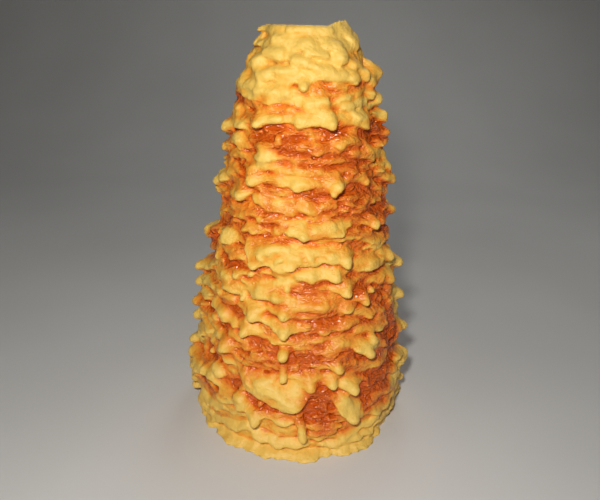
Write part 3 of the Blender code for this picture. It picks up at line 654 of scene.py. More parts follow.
def top_cut(angles_deg, radius):
    """Height of the cut. A thin flake of crust stands up from its front right edge,
    ragged, tallest at its far end."""
    t = (angles_deg % 360.0 - FLAKE_ANGLES[0]) / (FLAKE_ANGLES[1] - FLAKE_ANGLES[0])
    t = np.clip(t, 0.0, 1.0)
    flake = np.minimum(1.0, t * 2.0) * np.minimum(1.0, (1.0 - t) * 16.0)
    ragged = (0.78 + 0.10 * np.sin(t * 31.0) + 0.08 * np.sin(t * 67.0 + 1.0)
              + 0.30 * np.exp(-((t - 0.95) / 0.04) ** 2))
    outer = np.clip((radius - 36.5) / 1.0, 0.0, 1.0)
    rough = (0.6 * noise(wrap_points(angles_deg, radius * 3.0, 4.0, 4.0, radius), 6)
             + 0.7 * noise(wrap_points(angles_deg, radius, 3.0, 3.0, radius), 9))
    return CUT_HEIGHT + rough - 0.7 + FLAKE_RISE * flake * ragged * outer


def trim(field):
    """Cuts the ends flat, the hole through, and rounds off what reaches too far."""
    k = np.arange(NR)
    r = radius_of(k[None, :] + 0.0, Z[:, None])            # (z, k)
    field[:] = np.maximum(field, (spit_radius(Z)[:, None] - r)[None])
    field[:] = smax(field, (r - OUTER_R)[None], 2.0)
    near = Z > CUT_HEIGHT - 4.0
    aa, rr = np.meshgrid(A, np.arange(NR), indexing="ij")
    for j in np.nonzero(near)[0]:
        top = top_cut(aa, r[j][None, :] + 0.0 * aa)
        field[:, j, :] = np.maximum(field[:, j, :], Z[j] - top)
    field[:] = np.maximum(field, (-Z)[None, :, None])
    field[:, :, -1] = np.maximum(field[:, :, -1], 1.0)
    field[:, 0, :] = np.maximum(field[:, 0, :], 1.0)
    field[:, -1, :] = np.maximum(field[:, -1, :], 1.0)
    field[:, :, 0] = np.maximum(field[:, :, 0], 1.0)
    return field


def surface_of(field):
    """Surface nets on the wrapped grid. Returns grid coordinates and quads."""
    nt, nz, nr = field.shape
    inside = field < 0
    cells = np.zeros((nt, nz - 1, nr - 1), np.int8)
    nxt = np.roll(inside, -1, 0)
    for b in (inside, nxt):
        for dj in (0, 1):
            for dk in (0, 1):
                cells += b[:, dj:nz - 1 + dj, dk:nr - 1 + dk]
    active = (cells > 0) & (cells < 8)
    ids = np.full(active.shape, -1, np.int64)
    ci, cj, ck = np.nonzero(active)
    ids[ci, cj, ck] = np.arange(len(ci))
    corner = {}
    for di in (0, 1):
        for dj in (0, 1):
            for dk in (0, 1):
                corner[di, dj, dk] = field[(ci + di) % nt, cj + dj, ck + dk]
    total = np.zeros((len(ci), 3))
    hits = np.zeros(len(ci))
    for a in corner:
        for axis in range(3):
            if a[axis]:
                continue
            b = tuple(v + (n == axis) for n, v in enumerate(a))
            va, vb = corner[a], corner[b]
            cross = (va < 0) != (vb < 0)
            t = np.where(cross, va / np.where(cross, va - vb, 1.0), 0.0)
            for n in range(3):
                total[:, n] += np.where(cross, a[n] + (t if n == axis else 0.0), 0.0)
            hits += cross
    place = total / hits[:, None] + np.stack([ci, cj, ck], 1)
    quads = []

    def add(mask, cells4):
        quads.append(np.where(mask[:, None], np.stack(cells4, 1), np.stack(cells4[::-1], 1)))

    # edges along the angle
    e = inside != nxt
    i, j, k = np.nonzero(e[:, 1:-1, 1:-1])
    j, k = j + 1, k + 1
    add(inside[i, j, k], [ids[i, j - 1, k - 1], ids[i, j, k - 1], ids[i, j, k], ids[i, j - 1, k]])
    # edges along the height
    e = inside[:, :-1] != inside[:, 1:]
    i, j, k = np.nonzero(e[:, :, 1:-1])
    k = k + 1
    add(inside[i, j, k], [ids[(i - 1) % nt, j, k - 1], ids[(i - 1) % nt, j, k], ids[i, j, k], ids[i, j, k - 1]])
    # edges outwards
    e = inside[:, :, :-1] != inside[:, :, 1:]
    i, j, k = np.nonzero(e[:, 1:-1])
    j = j + 1
    add(inside[i, j, k], [ids[(i - 1) % nt, j - 1, k], ids[i, j - 1, k], ids[i, j, k], ids[(i - 1) % nt, j, k]])
    return place, np.concatenate(quads)


def blurred(solid, steps):
    """Box average over +-steps in angle, height and layer."""
    out = solid
    for axis, n in enumerate(steps):
        if axis == 0:
            pad = np.concatenate([out[-n - 1:], out, out[:n]], 0)
        else:
            first = np.repeat(np.take(out, [0], axis), n + 1, axis)
            last = np.repeat(np.take(out, [-1], axis), n, axis)
            pad = np.concatenate([first, out, last], axis)
        total = np.cumsum(pad, axis, dtype=np.float64).astype(np.float32)
        m = out.shape[axis]
        hi = np.take(total, np.arange(2 * n + 1, 2 * n + 1 + m), axis)
        lo = np.take(total, np.arange(0, m), axis)
        out = (hi - lo) / (2 * n + 1)
    return out


def sample(grid, place):
    """Trilinear sample at fractional grid coordinates."""
    nt = grid.shape[0]
    base = np.floor(place).astype(int)
    f = place - base
    value = np.zeros(len(place))
    for di in (0, 1):
        for dj in (0, 1):
            for dk in (0, 1):
                w = ((f[:, 0] if di else 1 - f[:, 0]) * (f[:, 1] if dj else 1 - f[:, 1])
                     * (f[:, 2] if dk else 1 - f[:, 2]))
                value += w * grid[(base[:, 0] + di) % nt,
                                  np.clip(base[:, 1] + dj, 0, grid.shape[1] - 1),
                                  np.clip(base[:, 2] + dk, 0, grid.shape[2] - 1)]
    return value


def xyz_of(place):
    a = np.radians(place[:, 0] * 360.0 / NT)
    z = Z[0] + place[:, 1] * DZ
    r = radius_of(place[:, 2], z)
    return np.stack([r * np.sin(a), -r * np.cos(a), z], 1)


def place_of(points):
    """The inverse of xyz_of."""
    a = np.degrees(np.arctan2(points[:, 0], -points[:, 1])) % 360.0
    z = points[:, 2]
    r = np.hypot(points[:, 0], points[:, 1])
    core, hole = core_radius(z), spit_radius(z) - 3.0
    k = np.where(r >= core - SINK, INNER + (r - core + SINK) / DR,
                 INNER * (r - hole) / (core - SINK - hole))
    return np.stack([a * NT / 360.0, (z - Z[0]) / DZ, np.clip(k, 0, NR - 1.001)], 1)


def mesh_from(name, points, faces):
    mesh = bpy.data.meshes.new(name)
    mesh.vertices.add(len(points))
    mesh.vertices.foreach_set("co", points.astype(np.float32).ravel())
    size = faces.shape[1]
    mesh.loops.add(faces.size)
    mesh.loops.foreach_set("vertex_index", faces.astype(np.int32).ravel())
    mesh.polygons.add(len(faces))
    mesh.polygons.foreach_set("loop_start", np.arange(0, faces.size, size, dtype=np.int32))
    mesh.update(calc_edges=True)
    mesh.validate()
    return mesh


def normals_of(points, quads):
    n = np.cross(points[quads[:, 2]] - points[quads[:, 0]], points[quads[:, 3]] - points[quads[:, 1]])
    out = np.zeros_like(points)
    for c in range(4):
        for d in range(3):
            out[:, d] += np.bincount(quads[:, c], n[:, d], len(points))
    return out / np.maximum(np.linalg.norm(out, axis=1)[:, None], 1e-9)


def smoothed(points, quads, amount):
    """One Laplacian step."""
    total = np.zeros_like(points)
    count = np.zeros(len(points))
    for c in range(4):
        a, b = quads[:, c], quads[:, (c + 1) % 4]
        for d in range(3):
            total[:, d] += np.bincount(a, points[b, d], len(points)) + np.bincount(b, points[a, d], len(points))
        count += np.bincount(a, minlength=len(points)) + np.bincount(b, minlength=len(points))
    mean = total / np.maximum(count, 1)[:, None]
    return points + (mean - points) * amount


def largest_body(count, quads):
    """Marks the vertices of the largest connected piece, so that no crumb floats."""
    a = quads.ravel()
    b = np.roll(quads, -1, 1).ravel()
    label = np.arange(count)
    while True:
        new = label.copy()
        np.minimum.at(new, a, label[b])
        np.minimum.at(new, b, label[a])
        new = new[new]
        new = new[new]
        if (new == label).all():
            break
        label = new
    names, sizes = np.unique(label, return_counts=True)
    return label == names[sizes.argmax()]


# ---- browning and painted shade -------------------------------------------------
# Where the crust is browner (+) or stayed pale (-): (angle, height, half width in
# degrees, half height in mm, amount).
BROWN_ZONES = (
    (0, 300, 75, 15, 0.60), (34, 262, 30, 22, 0.42), (-8, 238, 18, 4, 0.20),
    (30, 150, 30, 16, 0.34), (8, 104, 46, 8, 0.42), (-24, 104, 26, 10, 0.30),
    (15, 48, 10, 22, 0.72), (22, 350, 10, 4, 0.38), (52, 350, 10, 4, 0.38),
    (48, 128, 26, 18, 0.25), (-46, 300, 16, 30, 0.22), (62, 76, 18, 14, 0.50),
    (-60, 92, 18, 14, 0.30), (-8, 174, 18, 4, 0.10), (46, 232, 26, 14, 0.36),
    (72, 215, 20, 50, 0.36), (-41, 326, 8, 9, 0.45), (27, 312, 6, 6, 0.50),
    (-50, 240, 15, 20, 0.44), (-26, 226, 22, 7, 0.30), (52, 212, 14, 10, 0.25),
    (6, 165, 12, 24, 0.26), (36, 174, 7, 12, 0.40), (-43, 144, 8, 8, 0.50),
    (-17, 151, 8, 5, 0.25), (-55, 112, 12, 16, 0.30), (-15, 103, 12, 14, 0.34),
    (36, 92, 24, 8, 0.42), (54, 50, 14, 24, 0.50), (9, 27, 8, 10, 0.45), (30, 18, 8, 6, 0.32),
    (-30, 355, 20, 4, 0.10), (-66, 336, 14, 8, 0.45), (86, 309, 12, 16, 0.50),
    (86, 268, 8, 10, 0.20), (70, 100, 14, 22, 0.40), (-78, 198, 8, 10, 0.32), (-50, 181, 7, 6, 0.40),
    (4, 130, 8, 12, 0.24), (9, 223, 8, 5, 0.30), (38, 221, 8, 5, 0.30), (56, 165, 8, 8, 0.30),
    (-40, 74, 8, 16, 0.34), (-2, 48, 20, 9, 0.34), (9, 68, 6, 12, 0.42), (29, 82, 6, 10, 0.30),
    (-36, 48, 8, 8, 0.25), (29, 299, 5, 5, 0.15),
    (-33, 371, 6, 4, 0.20), (43, 372, 6, 5, 0.15), (42, 345, 7, 5, 0.25), (15, 336, 6, 5, 0.25),
    (-40, 322, 5, 8, 0.35), (23, 314, 5, 6, 0.50), (64, 312, 7, 8, 0.45), (-50, 270, 6, 8, 0.30),
    (-17, 271, 8, 5, 0.45), (10, 265, 7, 4, 0.30), (18, 239, 10, 4, 0.25), (10, 220, 8, 4, 0.35),
    (-18, 222, 8, 4, 0.25), (-75, 205, 8, 14, 0.50), (-30, 207, 8, 6, 0.35), (25, 212, 8, 5, 0.25),
    (75, 225, 6, 8, 0.35), (-33, 188, 5, 5, 0.40), (0, 199, 6, 4, 0.30), (23, 181, 6, 4, 0.25),
    (7, 176, 6, 4, 0.30), (32, 165, 5, 6, 0.45), (-30, 150, 6, 6, 0.45), (14, 136, 7, 5, 0.40),
    (3, 136, 5, 5, 0.25), (66, 106, 9, 12, 0.50), (-70, 72, 8, 10, 0.40), (-29, 82, 6, 8, 0.30),
    (24, 90, 5, 5, 0.45), (40, 68, 6, 8, 0.60), (-17, 233, 9, 4, 0.35), (-76, 200, 8, 12, 0.40),
    (65, 104, 8, 12, 0.40), (5, 62, 4, 10, 0.45), (-21, 56, 9, 5, 0.30), (23, 314, 5, 6, 0.30),
    (64, 312, 6, 7, 0.25), (-40, 322, 5, 6, 0.20), (-50, 270, 6, 6, 0.15), (22, 262, 6, 5, 0.25),
    (-31, 187, 5, 5, 0.20), (-45, 165, 7, 5, 0.20), (32, 166, 4, 6, 0.25), (-14, 166, 5, 5, 0.25),
    (-30, 134, 6, 8, 0.25), (5, 150, 6, 6, 0.20), (-66, 70, 7, 9, 0.30), (38, 28, 8, 8, 0.25),
    (-78, 185, 8, 8, 0.25), (-45, 118, 7, 8, 0.20), (14, 240, 10, 4, 0.15), (38, 49, 5, 8, 0.50), (10, 73, 5, 5, 0.40),
    (-11, 49, 8, 6, 0.35), (4, 57, 4, 6, 0.35), (22, 21, 6, 5, 0.30), (38, 36, 6, 8, 0.30),
    (-30, 335, 6, 5, 0.30), (-15, 328, 8, 4, 0.25), (27, 338, 10, 4, 0.22), (60, 320, 7, 6, 0.35),
    (75, 312, 7, 9, 0.60), (-40, 276, 6, 8, 0.40), (-21, 241, 12, 6, 0.35), (4, 245, 14, 4, 0.22),
    (-18, 228, 8, 4, 0.30), (10, 222, 6, 4, 0.25), (-77, 200, 7, 14, 0.45), (25, 207, 8, 5, 0.20),
    (35, 170, 5, 7, 0.35), (56, 148, 10, 8, 0.18), (66, 105, 9, 12, 0.50), (9, 74, 6, 7, 0.40),
    (-35, 66, 8, 9, 0.25), (-20, 50, 8, 6, 0.30), (50, 78, 5, 9, 0.40), (44, 60, 6, 8, 0.40),
    (62, 126, 8, 8, 0.30), (76, 218, 6, 8, 0.30), (-84, 60, 8, 8, 0.25),
    (180, 300, 60, 16, 0.50), (140, 240, 40, 20, 0.40), (220, 180, 46, 16, 0.42),
    (160, 120, 50, 14, 0.42), (230, 90, 30, 20, 0.36), (120, 60, 24, 20, 0.40),
    (200, 50, 26, 18, 0.36), (250, 260, 30, 22, 0.40), (170, 205, 30, 12, 0.30),
    (130, 160, 20, 14, 0.30), (210, 120, 20, 10, 0.30),
    # pale
    (0, 388, 360, 26, -0.45), (0, 374, 26, 6, -0.30), (-10, 356, 60, 8, -0.22),
    (-12, 318, 34, 7, -0.26), (-48, 348, 14, 8, -0.50), (0, 341, 20, 8, -0.50),
    (34, 344, 8, 6, -0.34), (12, 329, 10, 7, -0.34), (42, 333, 14, 6, -0.55),
    (50, 318, 24, 8, -0.24), (8, 306, 6, 5, -0.30), (-30, 288, 11, 9, -0.55),
    (-3, 272, 14, 6, -0.50), (22, 268, 8, 6, -0.34), (-55, 308, 8, 9, -0.45),
    (-58, 296, 8, 8, -0.30), (14, 231, 18, 6, -0.48), (10, 207, 20, 6, -0.38),
    (-56, 206, 8, 10, -0.30), (-14, 179, 12, 6, -0.65), (-46, 174, 14, 5, -0.30),
    (-14, 199, 18, 6, -0.25), (0, 220, 24, 5, -0.15), (-14, 66, 20, 12, -0.15),
    (25, 52, 7, 15, -0.80), (-75, 70, 26, 36, -0.15), (-62, 146, 12, 6, -0.35),
    (-67, 104, 9, 9, -0.40), (-30, 32, 60, 16, -0.24), (0, 0, 360, 18, -0.40),
    (-12, 156, 26, 8, -0.12), (22, 192, 12, 7, -0.15), (42, 110, 8, 9, -0.42),
    (-30, 132, 8, 8, -0.20), (62, 190, 8, 8, -0.15), (-31, 353, 8, 6, -0.40), (-44, 341, 7, 6, -0.35),
    (-4, 372, 14, 6, -0.25), (27, 381, 8, 5, -0.25), (25, 366, 10, 6, -0.20), (44, 331, 14, 5, -0.45),
    (14, 324, 8, 5, -0.35), (-50, 312, 6, 6, -0.25), (88, 320, 8, 5, -0.40), (6, 306, 8, 5, -0.25),
    (-14, 310, 10, 4, -0.15), (-19, 293, 7, 5, -0.20), (24, 298, 6, 5, -0.30), (-47, 290, 6, 8, -0.20),
    (-8, 286, 7, 5, -0.25), (66, 289, 10, 7, -0.30), (-88, 262, 8, 5, -0.40), (20, 266, 6, 5, -0.25),
    (-8, 252, 10, 4, -0.20), (-46, 247, 7, 6, -0.20), (-8, 233, 20, 4, -0.30), (25, 226, 6, 5, -0.30),
    (-50, 212, 6, 10, -0.35), (-88, 222, 8, 5, -0.30), (44, 208, 7, 6, -0.25), (17, 211, 7, 4, -0.20),
    (-21, 192, 6, 6, -0.30), (-64, 178, 10, 6, -0.20), (10, 190, 12, 4, -0.30), (26, 195, 6, 4, -0.30),
    (-7, 177, 6, 5, -0.35), (36, 174, 6, 6, -0.35), (70, 170, 8, 8, -0.30), (19, 163, 9, 5, -0.30),
    (-22, 158, 6, 6, -0.30), (-42, 150, 7, 6, -0.25), (28, 144, 8, 5, -0.30), (-24, 131, 6, 6, -0.25),
    (-55, 108, 9, 9, -0.40), (40, 104, 6, 6, -0.45), (-19, 105, 14, 5, -0.15), (-40, 78, 6, 8, -0.30),
    (27, 75, 6, 4, -0.25), (47, 76, 6, 5, -0.20), (70, 50, 9, 9, -0.35), (10, 32, 7, 5, -0.30),
    (-35, 22, 7, 5, -0.25), (-40, 45, 6, 5, -0.25), (-24, 352, 8, 5, -0.25), (3, 343, 7, 5, -0.25),
    (-88, 222, 8, 6, -0.30), (-88, 260, 7, 6, -0.20), (50, 284, 8, 5, -0.20), (-10, 284, 7, 5, -0.25),
    (-30, 277, 7, 5, -0.20), (-52, 212, 6, 8, -0.15), (17, 211, 7, 4, -0.20), (4, 190, 6, 4, -0.15),
    (-7, 177, 6, 5, -0.30), (36, 174, 6, 6, -0.20), (24, 165, 5, 5, -0.25), (-50, 152, 6, 8, -0.30),
    (30, 145, 7, 5, -0.15), (-60, 110, 8, 9, -0.25), (-40, 101, 6, 6, -0.20), (-15, 105, 8, 5, -0.20),
    (86, 106, 7, 12, -0.30), (40, 103, 5, 5, -0.20), (-40, 80, 5, 7, -0.30), (47, 84, 6, 6, -0.30),
    (70, 54, 8, 8, -0.25), (-40, 40, 7, 6, -0.25), (-22, 46, 6, 5, -0.15), (-10, 25, 8, 4, -0.25),
    (0, 374, 12, 5, -0.25), (-30, 352, 7, 5, -0.25), (45, 347, 7, 5, -0.25), (8, 305, 6, 5, -0.30),
    (-70, 310, 6, 7, -0.25), (-87, 262, 7, 6, -0.35), (-86, 210, 6, 8, -0.60), (-35, 190, 5, 5, -0.40),
    (-50, 130, 8, 7, -0.35), (-65, 104, 8, 10, -0.35), (-38, 77, 5, 6, -0.40), (-8, 97, 8, 5, -0.25),
    (76, 286, 8, 8, -0.30), (80, 170, 7, 7, -0.30), (86, 134, 7, 10, -0.35), (70, 45, 9, 9, -0.30),
    (-48, 30, 10, 6, -0.30), (-25, 24, 6, 6, -0.35), (10, 10, 6, 5, -0.30), (-42, 250, 7, 6, -0.25),
    (52, 96, 6, 6, -0.25), (-14, 340, 8, 4, -0.20),
    (-88, 210, 5, 8, -0.60), (-87, 262, 5, 7, -0.40), (-33, 188, 5, 5, -0.50), (-48, 70, 6, 6, -0.60),
    (-58, 104, 7, 7, -0.40), (-82, 92, 7, 8, -0.40), (-30, 22, 7, 4, -0.45), (-46, 28, 9, 5, -0.30),
    (-36, 45, 6, 6, -0.30), (84, 48, 8, 12, -0.45), (60, 88, 6, 5, -0.40), (24, 78, 5, 6, -0.40),
    (-5, 84, 6, 5, -0.30), (84, 140, 6, 9, -0.45), (80, 174, 6, 6, -0.40), (70, 332, 8, 6, -0.40),
    (-42, 247, 6, 5, -0.40), (-34, 158, 7, 5, -0.40), (8, 306, 8, 4, -0.40), (58, 198, 5, 5, -0.40),
    (-3, 375, 18, 5, -0.30), (-34, 350, 8, 6, -0.30), (8, 6, 8, 4, -0.25), (40, 178, 6, 5, -0.30),
    (-18, 54, 8, 7, 0.55), (48, 74, 5, 7, 0.55), (56, 54, 7, 8, 0.65), (72, 102, 8, 9, 0.55),
    (38, 168, 5, 6, 0.50), (66, 312, 7, 6, 0.50), (-80, 204, 5, 9, 0.50), (-80, 120, 7, 8, 0.40),
    (-78, 62, 8, 7, 0.40), (62, 130, 9, 8, 0.40), (76, 222, 6, 7, 0.50), (56, 258, 8, 7, 0.30),
    (-52, 45, 8, 6, 0.35), (-85, 185, 5, 8, 0.35), (-26, 195, 6, 5, 0.30), (-20, 215, 12, 5, 0.20),
    (-22, 180, 8, 5, 0.25), (48, 240, 12, 6, 0.20), (8, 68, 7, 5, 0.30), (28, 60, 6, 6, 0.25),
    (-82, 201, 9, 9, -0.80), (-32, 13, 9, 5, -0.60), (-22, 33, 6, 5, -0.45), (-28, 50, 6, 5, -0.40),
    (78, 116, 9, 14, -0.50), (-20, 338, 8, 5, -0.35), (-42, 345, 7, 5, -0.40), (-38, 325, 7, 5, -0.40),
    (50, 331, 8, 5, -0.40), (83, 321, 8, 7, -0.55), (85, 275, 8, 8, -0.50), (72, 178, 7, 7, -0.45),
    (84, 137, 7, 8, -0.40), (36, 184, 6, 5, -0.30), (32, 139, 7, 5, -0.30), (16, 88, 5, 6, -0.35),
    (14, 74, 5, 5, -0.35), (66, 53, 9, 9, -0.45), (38, 28, 7, 6, -0.35), (-56, 103, 7, 6, -0.30),
    (-78, 86, 8, 7, -0.35), (-80, 84, 9, 8, -0.50), (-82, 140, 8, 8, -0.45), (-26, 151, 6, 5, -0.40),
    (-25, 175, 6, 5, -0.40), (-40, 137, 5, 5, 0.25), (-64, 203, 6, 5, -0.40), (-22, 289, 6, 5, -0.40),
    (-52, 306, 6, 6, -0.50), (-81, 254, 8, 7, -0.50), (-80, 306, 8, 6, -0.30), (-10, 271, 9, 4, -0.35),
    (30, 268, 7, 5, -0.35), (45, 268, 6, 6, -0.35), (-14, 251, 5, 4, -0.35), (-3, 210, 6, 5, -0.30),
    (38, 222, 7, 4, -0.40), (52, 202, 6, 5, -0.30),
    (-72, 68, 9, 6, 0.50), (-72, 119, 8, 8, 0.45), (-56, 147, 7, 6, 0.45), (-60, 41, 7, 6, 0.35),
    (-45, 215, 12, 6, 0.20), (-16, 60, 7, 6, 0.25), (10, 300, 5, 6, 0.25), (64, 318, 8, 6, 0.40),
    (-8, 374, 16, 6, -0.20), (-46, 190, 5, 6, 0.35), (-20, 188, 9, 4, 0.20), (56, 262, 7, 7, 0.25),
    (55, 318, 9, 5, 0.25), (-24, 266, 4, 10, 0.20), (-22, 250, 5, 6, 0.25), (62, 104, 6, 7, 0.30),
    (-44, 46, 5, 5, 0.30), (68, 50, 8, 8, -0.30), (58, 80, 7, 5, -0.35), (72, 176, 6, 6, -0.30),
    (74, 98, 7, 24, -0.30), (74, 140, 6, 8, -0.20),
)


def zone_of(angle, z):
    total = np.zeros(len(z))
    for a, h, wa, wh, amount in BROWN_ZONES:
        da = (angle - a + 180.0) % 360.0 - 180.0
        d = (z - h) / wh
        if wa < 360:
            total += amount * np.exp(-((da / wa) ** 2) - d * d)
        else:
            total += amount * np.exp(-d * d)
    return total


def browning_and_shade_of(points, normals, exposed, hollow_shade_mask, laid):
    """0 for the palest batter to 1 for the brownest crust, with painted shade added in creases, hollows and on faces
    turned downwards.
    """
    angle = np.degrees(np.arctan2(points[:, 0], -points[:, 1]))
    z = points[:, 2]
    reach = np.hypot(points[:, 0], points[:, 1]) - core_radius(z)
    streak = noise(wrap_points(angle, z, 30.0, 7.0), 7)
    patch = noise(wrap_points(angle, z, 42.0, 26.0), 8)
    tone = 0.27 + 0.18 * streak + 0.18 * patch
    quiet = 1.0 - 0.65 * np.clip((z - 346.0) / 14.0, 0, 1)
    tone = tone + 0.42 * laid * quiet - 0.06 * np.clip((40.0 - z) / 20.0, 0, 1)
    # painted shade: browner in the narrow creases and in the broad hollows; in the broad hollows this also stands for
    # the earlier baked layers showing between the ledges
    tone = tone + (1.0 * (hollow_shade_mask - 0.5) + 0.7 * (exposed - 0.5)) * quiet
    tone = tone - 0.010 * (np.clip(reach, 0, 20) - 9.0)
    # painted shade: faces that turn downwards get a browner tone
    tone = tone + 0.14 * np.clip(-normals[:, 2] - 0.1, 0, 1)
    tone = tone + 0.75 * zone_of(angle, z)
    return np.clip(tone, 0.0, 1.0)


def make_cake():
    field, tones = build_field()
    field = trim(field)
    place, quads = surface_of(field)
    keep = largest_body(len(place), quads)
    renumber = np.cumsum(keep) - 1
    quads = renumber[quads[keep[quads[:, 0]]]]
    place = place[keep]
    points = xyz_of(place)
    points = smoothed(points, quads, 0.25)
    normals = normals_of(points, quads)
    # wrinkles of the crust, drawn out sideways, and its fine pores
    a = np.degrees(np.arctan2(points[:, 0], -points[:, 1]))
    z = points[:, 2]
    r = np.hypot(points[:, 0], points[:, 1])
    skin = (0.56 * noise(points / (6.0, 6.0, 3.4), 11) + 0.30 * noise(points / (3.2, 3.2, 2.6), 12)
            + 0.6 * noise(points / (11.0, 11.0, 6.0), 13))
    on_skin = np.clip((r - spit_radius(z) - 4.0) / 4.0, 0, 1)
    on_skin = on_skin * np.clip((CUT_HEIGHT - 1.5 - z) / 2.0, 0, 1) * np.clip((z - 0.8) / 2.0, 0, 1)
    on_skin = on_skin * (0.54 + 0.46 * np.clip(sample(tones, place) * 1.3 - 0.1, 0, 1))
    points = points + normals * (skin * on_skin)[:, None]
    points[:, 2] = np.maximum(points[:, 2], 0.0)

    mesh = mesh_from("cake_visual", points * MM, quads)
    cake = bpy.data.objects.new("cake_visual", mesh)
    bpy.context.scene.collection.objects.link(cake)
    thin = cake.modifiers.new("thin", "DECIMATE")
    thin.ratio = min(1.0, 190000 / (2.0 * len(quads)))
    graph = bpy.context.evaluated_depsgraph_get()
    final = bpy.data.meshes.new_from_object(cake.evaluated_get(graph))
    cake.modifiers.clear()
    cake.data = final
    final.name = "cake_visual"
    bpy.data.meshes.remove(mesh)

    # per-vertex looks, from the shape: browning, and painted shade in creases, hollows and under the ledges
    n = len(final.vertices)
    co = np.empty(n * 3, np.float32)
    final.vertices.foreach_get("co", co)
    co = co.reshape(-1, 3).astype(float) / MM
    no = np.empty(n * 3, np.float32)
    final.vertex_normals.foreach_get("vector", no)
    no = no.reshape(-1, 3).astype(float)
    solid = np.clip(0.5 - field / (2 * DR), 0, 1)
    solid[:, :, :INNER] = 1.0
    at = place_of(co)
    # narrow hollows: the mask for the painted shade in the creases
    hollow_shade_mask = sample(blurred(solid, (3, 3, 3)), at)
    exposed = sample(blurred(solid, (9, 8, 8)), at)
    tone = browning_and_shade_of(co, no, exposed, hollow_shade_mask, sample(tones, at))
    for name, values in (("browning_and_shade", tone), ("hollow_shade_mask", hollow_shade_mask)):
        layer = final.attributes.new(name, "FLOAT", "POINT")
        layer.data.foreach_set("value", values.astype(np.float32))

    # cut ends and the hole have looks of their own
    f = len(final.polygons)
    centre = np.empty(f * 3, np.float32)
    final.polygons.foreach_get("center", centre)
    centre = centre.reshape(-1, 3) / MM
    face_no = np.empty(f * 3, np.float32)
    final.polygons.foreach_get("normal", face_no)
    face_no = face_no.reshape(-1, 3)
    fr = np.hypot(centre[:, 0], centre[:, 1])
    which = np.zeros(f, np.int32)
    which[(face_no[:, 2] > 0.8) & (centre[:, 2] > CUT_HEIGHT - 2.5) & (fr < 40.0)] = 1
    which[(face_no[:, 2] < -0.8) & (centre[:, 2] < 0.6)] = 1
    which[fr < spit_radius(centre[:, 2]) + 1.0] = 2
    final.polygons.foreach_set("material_index", which)
    final.shade_smooth()
    return cake


# ---- materials --------------------------------------------------------------------
def srgb(r, g, b):
    def lin(c):
        c = c / 255.0
        return c / 12.92 if c <= 0.04045 else ((c + 0.055) / 1.055) ** 2.4
    return (lin(r), lin(g), lin(b), 1.0)


class Nodes:
    """Short helpers for building a material's node tree."""

    def __init__(self, name):
        self.material = bpy.data.materials.new(name)
        self.material.use_nodes = True
        self.tree = self.material.node_tree
        self.shader = self.tree.nodes["Principled BSDF"]

    def node(self, kind, **settings):
        n = self.tree.nodes.new(kind)
        for key, value in settings.items():
            setattr(n, key, value)
        return n

    def link(self, a, b):
        self.tree.links.new(a, b)

    def math(self, operation, a, b=None, clamp=False):
        n = self.node("ShaderNodeMath", operation=operation, use_clamp=clamp)
        for socket, value in zip(n.inputs, (a, b)):
            if value is None:
                continue
            if isinstance(value, (int, float)):
                socket.default_value = value
            else:
                self.link(value, socket)
        return n.outputs[0]

    def noise(self, vector, scale, detail=2.0, roughness=0.5, distortion=0.0):
        n = self.node("ShaderNodeTexNoise")
        n.inputs["Scale"].default_value = scale
        n.inputs["Detail"].default_value = detail
        n.inputs["Roughness"].default_value = roughness
        n.inputs["Distortion"].default_value = distortion
        self.link(vector, n.inputs["Vector"])
        return n.outputs["Fac"]

    def mapped(self, scale):
        coord = self.node("ShaderNodeTexCoord")
        m = self.node("ShaderNodeMapping")
        m.inputs["Scale"].default_value = scale
        self.link(coord.outputs["Object"], m.inputs["Vector"])
        return m.outputs["Vector"]

    def ramp(self, value, stops):
        n = self.node("ShaderNodeValToRGB")
        ramp = n.color_ramp
        ramp.interpolation = "B_SPLINE" if len(stops) > 8 else "LINEAR"
        while len(ramp.elements) < len(stops):
            ramp.elements.new(0.5)
        for element, (at, colour) in zip(ramp.elements, stops):
            element.position = at
            element.color = colour
        self.link(value, n.inputs["Fac"])
        return n.outputs["Color"]

    def mix(self, factor, first, second):
        n = self.node("ShaderNodeMix", data_type="RGBA")
        self.link(factor, n.inputs[0])
        self.link(first, n.inputs[6])
        n.inputs[7].default_value = second
        return n.outputs[2]

    def attribute(self, name):
        return self.node("ShaderNodeAttribute", attribute_name=name).outputs["Fac"]

    def bump(self, height, strength, distance, below=None):
        n = self.node("ShaderNodeBump")
        n.inputs["Strength"].default_value = strength
        n.inputs["Distance"].default_value = distance
        self.link(height, n.inputs["Height"])
        if below is not None:
            self.link(below, n.inputs["Normal"])
        return n.outputs["Normal"]


CRUST_COLOURS = (
    (0.00, srgb(247, 203, 97)),
    (0.18, srgb(246, 187, 73)),
    (0.36, srgb(243, 165, 54)),
    (0.52, srgb(241, 147, 45)),
    (0.68, srgb(238, 130, 37)),
    (0.84, srgb(230, 111, 27)),
    (1.00, srgb(208, 88, 12)),
)


